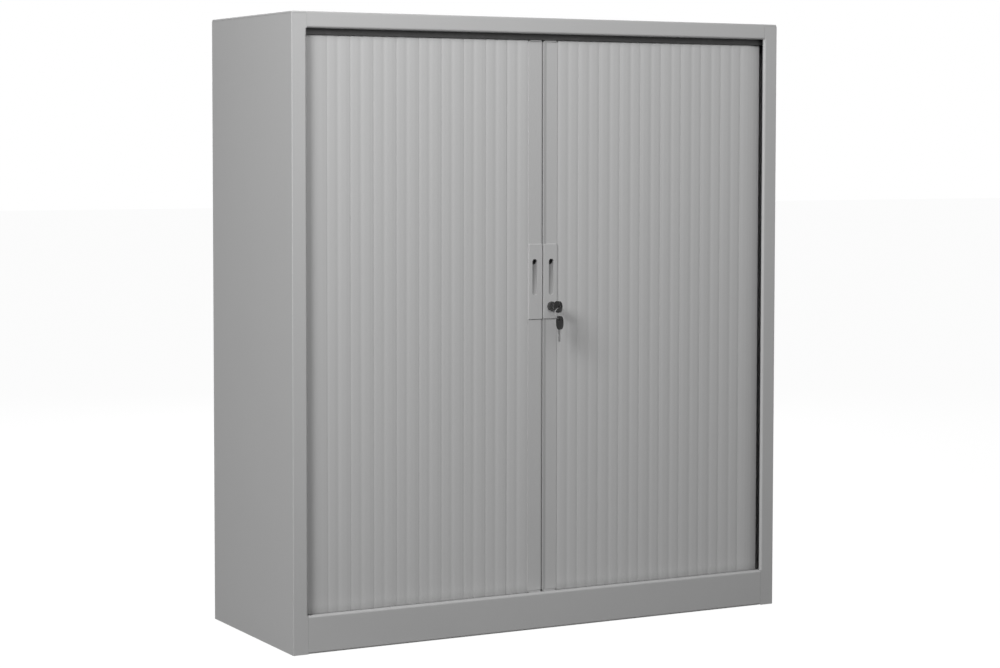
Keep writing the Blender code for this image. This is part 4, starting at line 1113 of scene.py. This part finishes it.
class CABINET_OT_stage(CabinetOperator, bpy.types.Operator):
    """Set up the pale studio floor, the soft lights and the camera"""

    bl_idname = "cabinet.stage"
    bl_label = "Studio"

    key_power: power("Key light", "Power of the large light", 88)
    front_power: power("Front light", "Power of the broad light in front", 27)
    rear_power: power("Rear light", "Power of the light behind the cabinet", 60)
    ambient: bpy.props.FloatProperty(name="Ambient", description="Strength of the studio's own light",
                                     default=0.135, min=0)

    def build(self, chosen):
        self.floor(chosen.colours.floor)
        self.surroundings()
        self.lamp("Key", (-3.0, -1.8, 2.5), 0.9, 1.6, self.key_power)
        self.lamp("Front", (-0.1, -2.1, 2.4), 0.9, 2.0, self.front_power)
        self.lamp("Rear", (1.4, 3.4, 2.4), 0.7, 2.2, self.rear_power)
        self.camera()

    def floor(self, colour):
        shape = bmesh.new()
        bmesh.ops.create_grid(shape, x_segments=1, y_segments=1, size=30)
        item = object_from("studio_floor", shape)
        finish = Finish("Studio floor")
        finish.surface(base_color=(*colour, 1), roughness=0.9, emission_color=(1, 1, 1, 1),
                       emission_strength=self.seen(finish) * FLOOR_GLOW)
        item.data.materials.append(finish.material)

    def seen(self, finish):
        """1 for rays from the camera, or by way of glossy surfaces and glass."""
        path = finish.tree.nodes.new("ShaderNodeLightPath")
        camera, glossy, glass = [Signal(finish, path.outputs[f"Is {kind} Ray"])
                                 for kind in ("Camera", "Glossy", "Transmission")]
        return (camera + glossy + glass).maths("MINIMUM", 1.0)

    def surroundings(self):
        """A world that is white to the camera and lights the cabinet only a little."""
        world = bpy.data.worlds.new("Studio")
        bpy.context.scene.world = world
        world.use_nodes = True
        nodes, links = world.node_tree.nodes, world.node_tree.links
        background = nodes["Background"]
        background.inputs["Color"].default_value = (1, 1, 1, 1)
        strength = nodes.new("ShaderNodeMapRange")
        strength.inputs["To Min"].default_value = self.ambient
        strength.inputs["To Max"].default_value = 1
        links.new(nodes.new("ShaderNodeLightPath").outputs["Is Camera Ray"], strength.inputs["Value"])
        links.new(strength.outputs[0], background.inputs["Strength"])

    def lamp(self, name, place, aim_height, size, watts):
        light = bpy.data.lights.new(name, "AREA")
        light.shape = "DISK"
        light.size = size
        light.energy = watts
        aim = Vector((0.0, MIDDLE_Y, aim_height))
        item = bpy.data.objects.new(name, light)
        item.location = place
        item.rotation_euler = (aim - Vector(place)).to_track_quat("-Z", "Y").to_euler()
        bpy.context.scene.collection.objects.link(item)

    def camera(self):
        data = bpy.data.cameras.new("Camera")
        data.lens = LENS_MM
        data.sensor_width = SENSOR_MM
        data.shift_y = LENS_SHIFT
        item = bpy.data.objects.new("Camera", data)
        bpy.context.scene.collection.objects.link(item)
        away = Vector((math.sin(VIEW_AZIMUTH) * math.cos(VIEW_ELEVATION),
                       -math.cos(VIEW_AZIMUTH) * math.cos(VIEW_ELEVATION), math.sin(VIEW_ELEVATION)))
        level = Vector((0, 0, 1)).cross(away).normalized()
        turn = Matrix((level, away.cross(level), away)).transposed()
        item.rotation_euler = (turn @ Matrix.Rotation(VIEW_ROLL, 3, "Z")).to_euler()
        item.location = VIEW_TARGET + away * VIEW_DISTANCE
        bpy.context.scene.camera = item
        bpy.context.scene.view_settings.view_transform = "Standard"


STEPS = (
    CABINET_OT_side_panels,
    CABINET_OT_top_panel,
    CABINET_OT_base_panel,
    CABINET_OT_back_panel,
    CABINET_OT_linings,
    CABINET_OT_tracks,
    CABINET_OT_shelves,
    CABINET_OT_feet,
    CABINET_OT_curtains,
    CABINET_OT_lead_stiles,
    CABINET_OT_handles,
    CABINET_OT_lock,
    CABINET_OT_keys,
    CABINET_OT_stage,
)


class CABINET_PT_panel(bpy.types.Panel):
    """Lists the cabinet's pieces, its sizes and its colours."""

    bl_label = "Tambour Door Cabinet"
    bl_idname = "CABINET_PT_panel"
    bl_space_type = "VIEW_3D"
    bl_region_type = "UI"
    bl_category = "Cabinet"

    def draw(self, context):
        chosen = context.scene.tambour_cabinet
        for step in STEPS:
            self.layout.operator(step.bl_idname)
        for group in (chosen.sheet, chosen.curtain, chosen.lock, chosen.colours):
            column = self.layout.column(heading=group.__doc__)
            for name in group.bl_rna.properties.keys():
                if name not in ("rna_type", "name"):
                    column.prop(group, name)


CLASSES = (SheetSizes, CurtainSizes, LockSizes, FinishColours, CabinetSettings, *STEPS, CABINET_PT_panel)


def register():
    for item in CLASSES:
        bpy.utils.register_class(item)
    bpy.types.Scene.tambour_cabinet = bpy.props.PointerProperty(
        name="Tambour cabinet", description="Sizes and colours of the cabinet", type=CabinetSettings)


def unregister():
    del bpy.types.Scene.tambour_cabinet
    for item in reversed(CLASSES):
        bpy.utils.unregister_class(item)


def main():
    register()
    for step in STEPS:
        category, name = step.bl_idname.split(".")
        getattr(getattr(bpy.ops, category), name)()


if __name__ == "__main__":
    main()
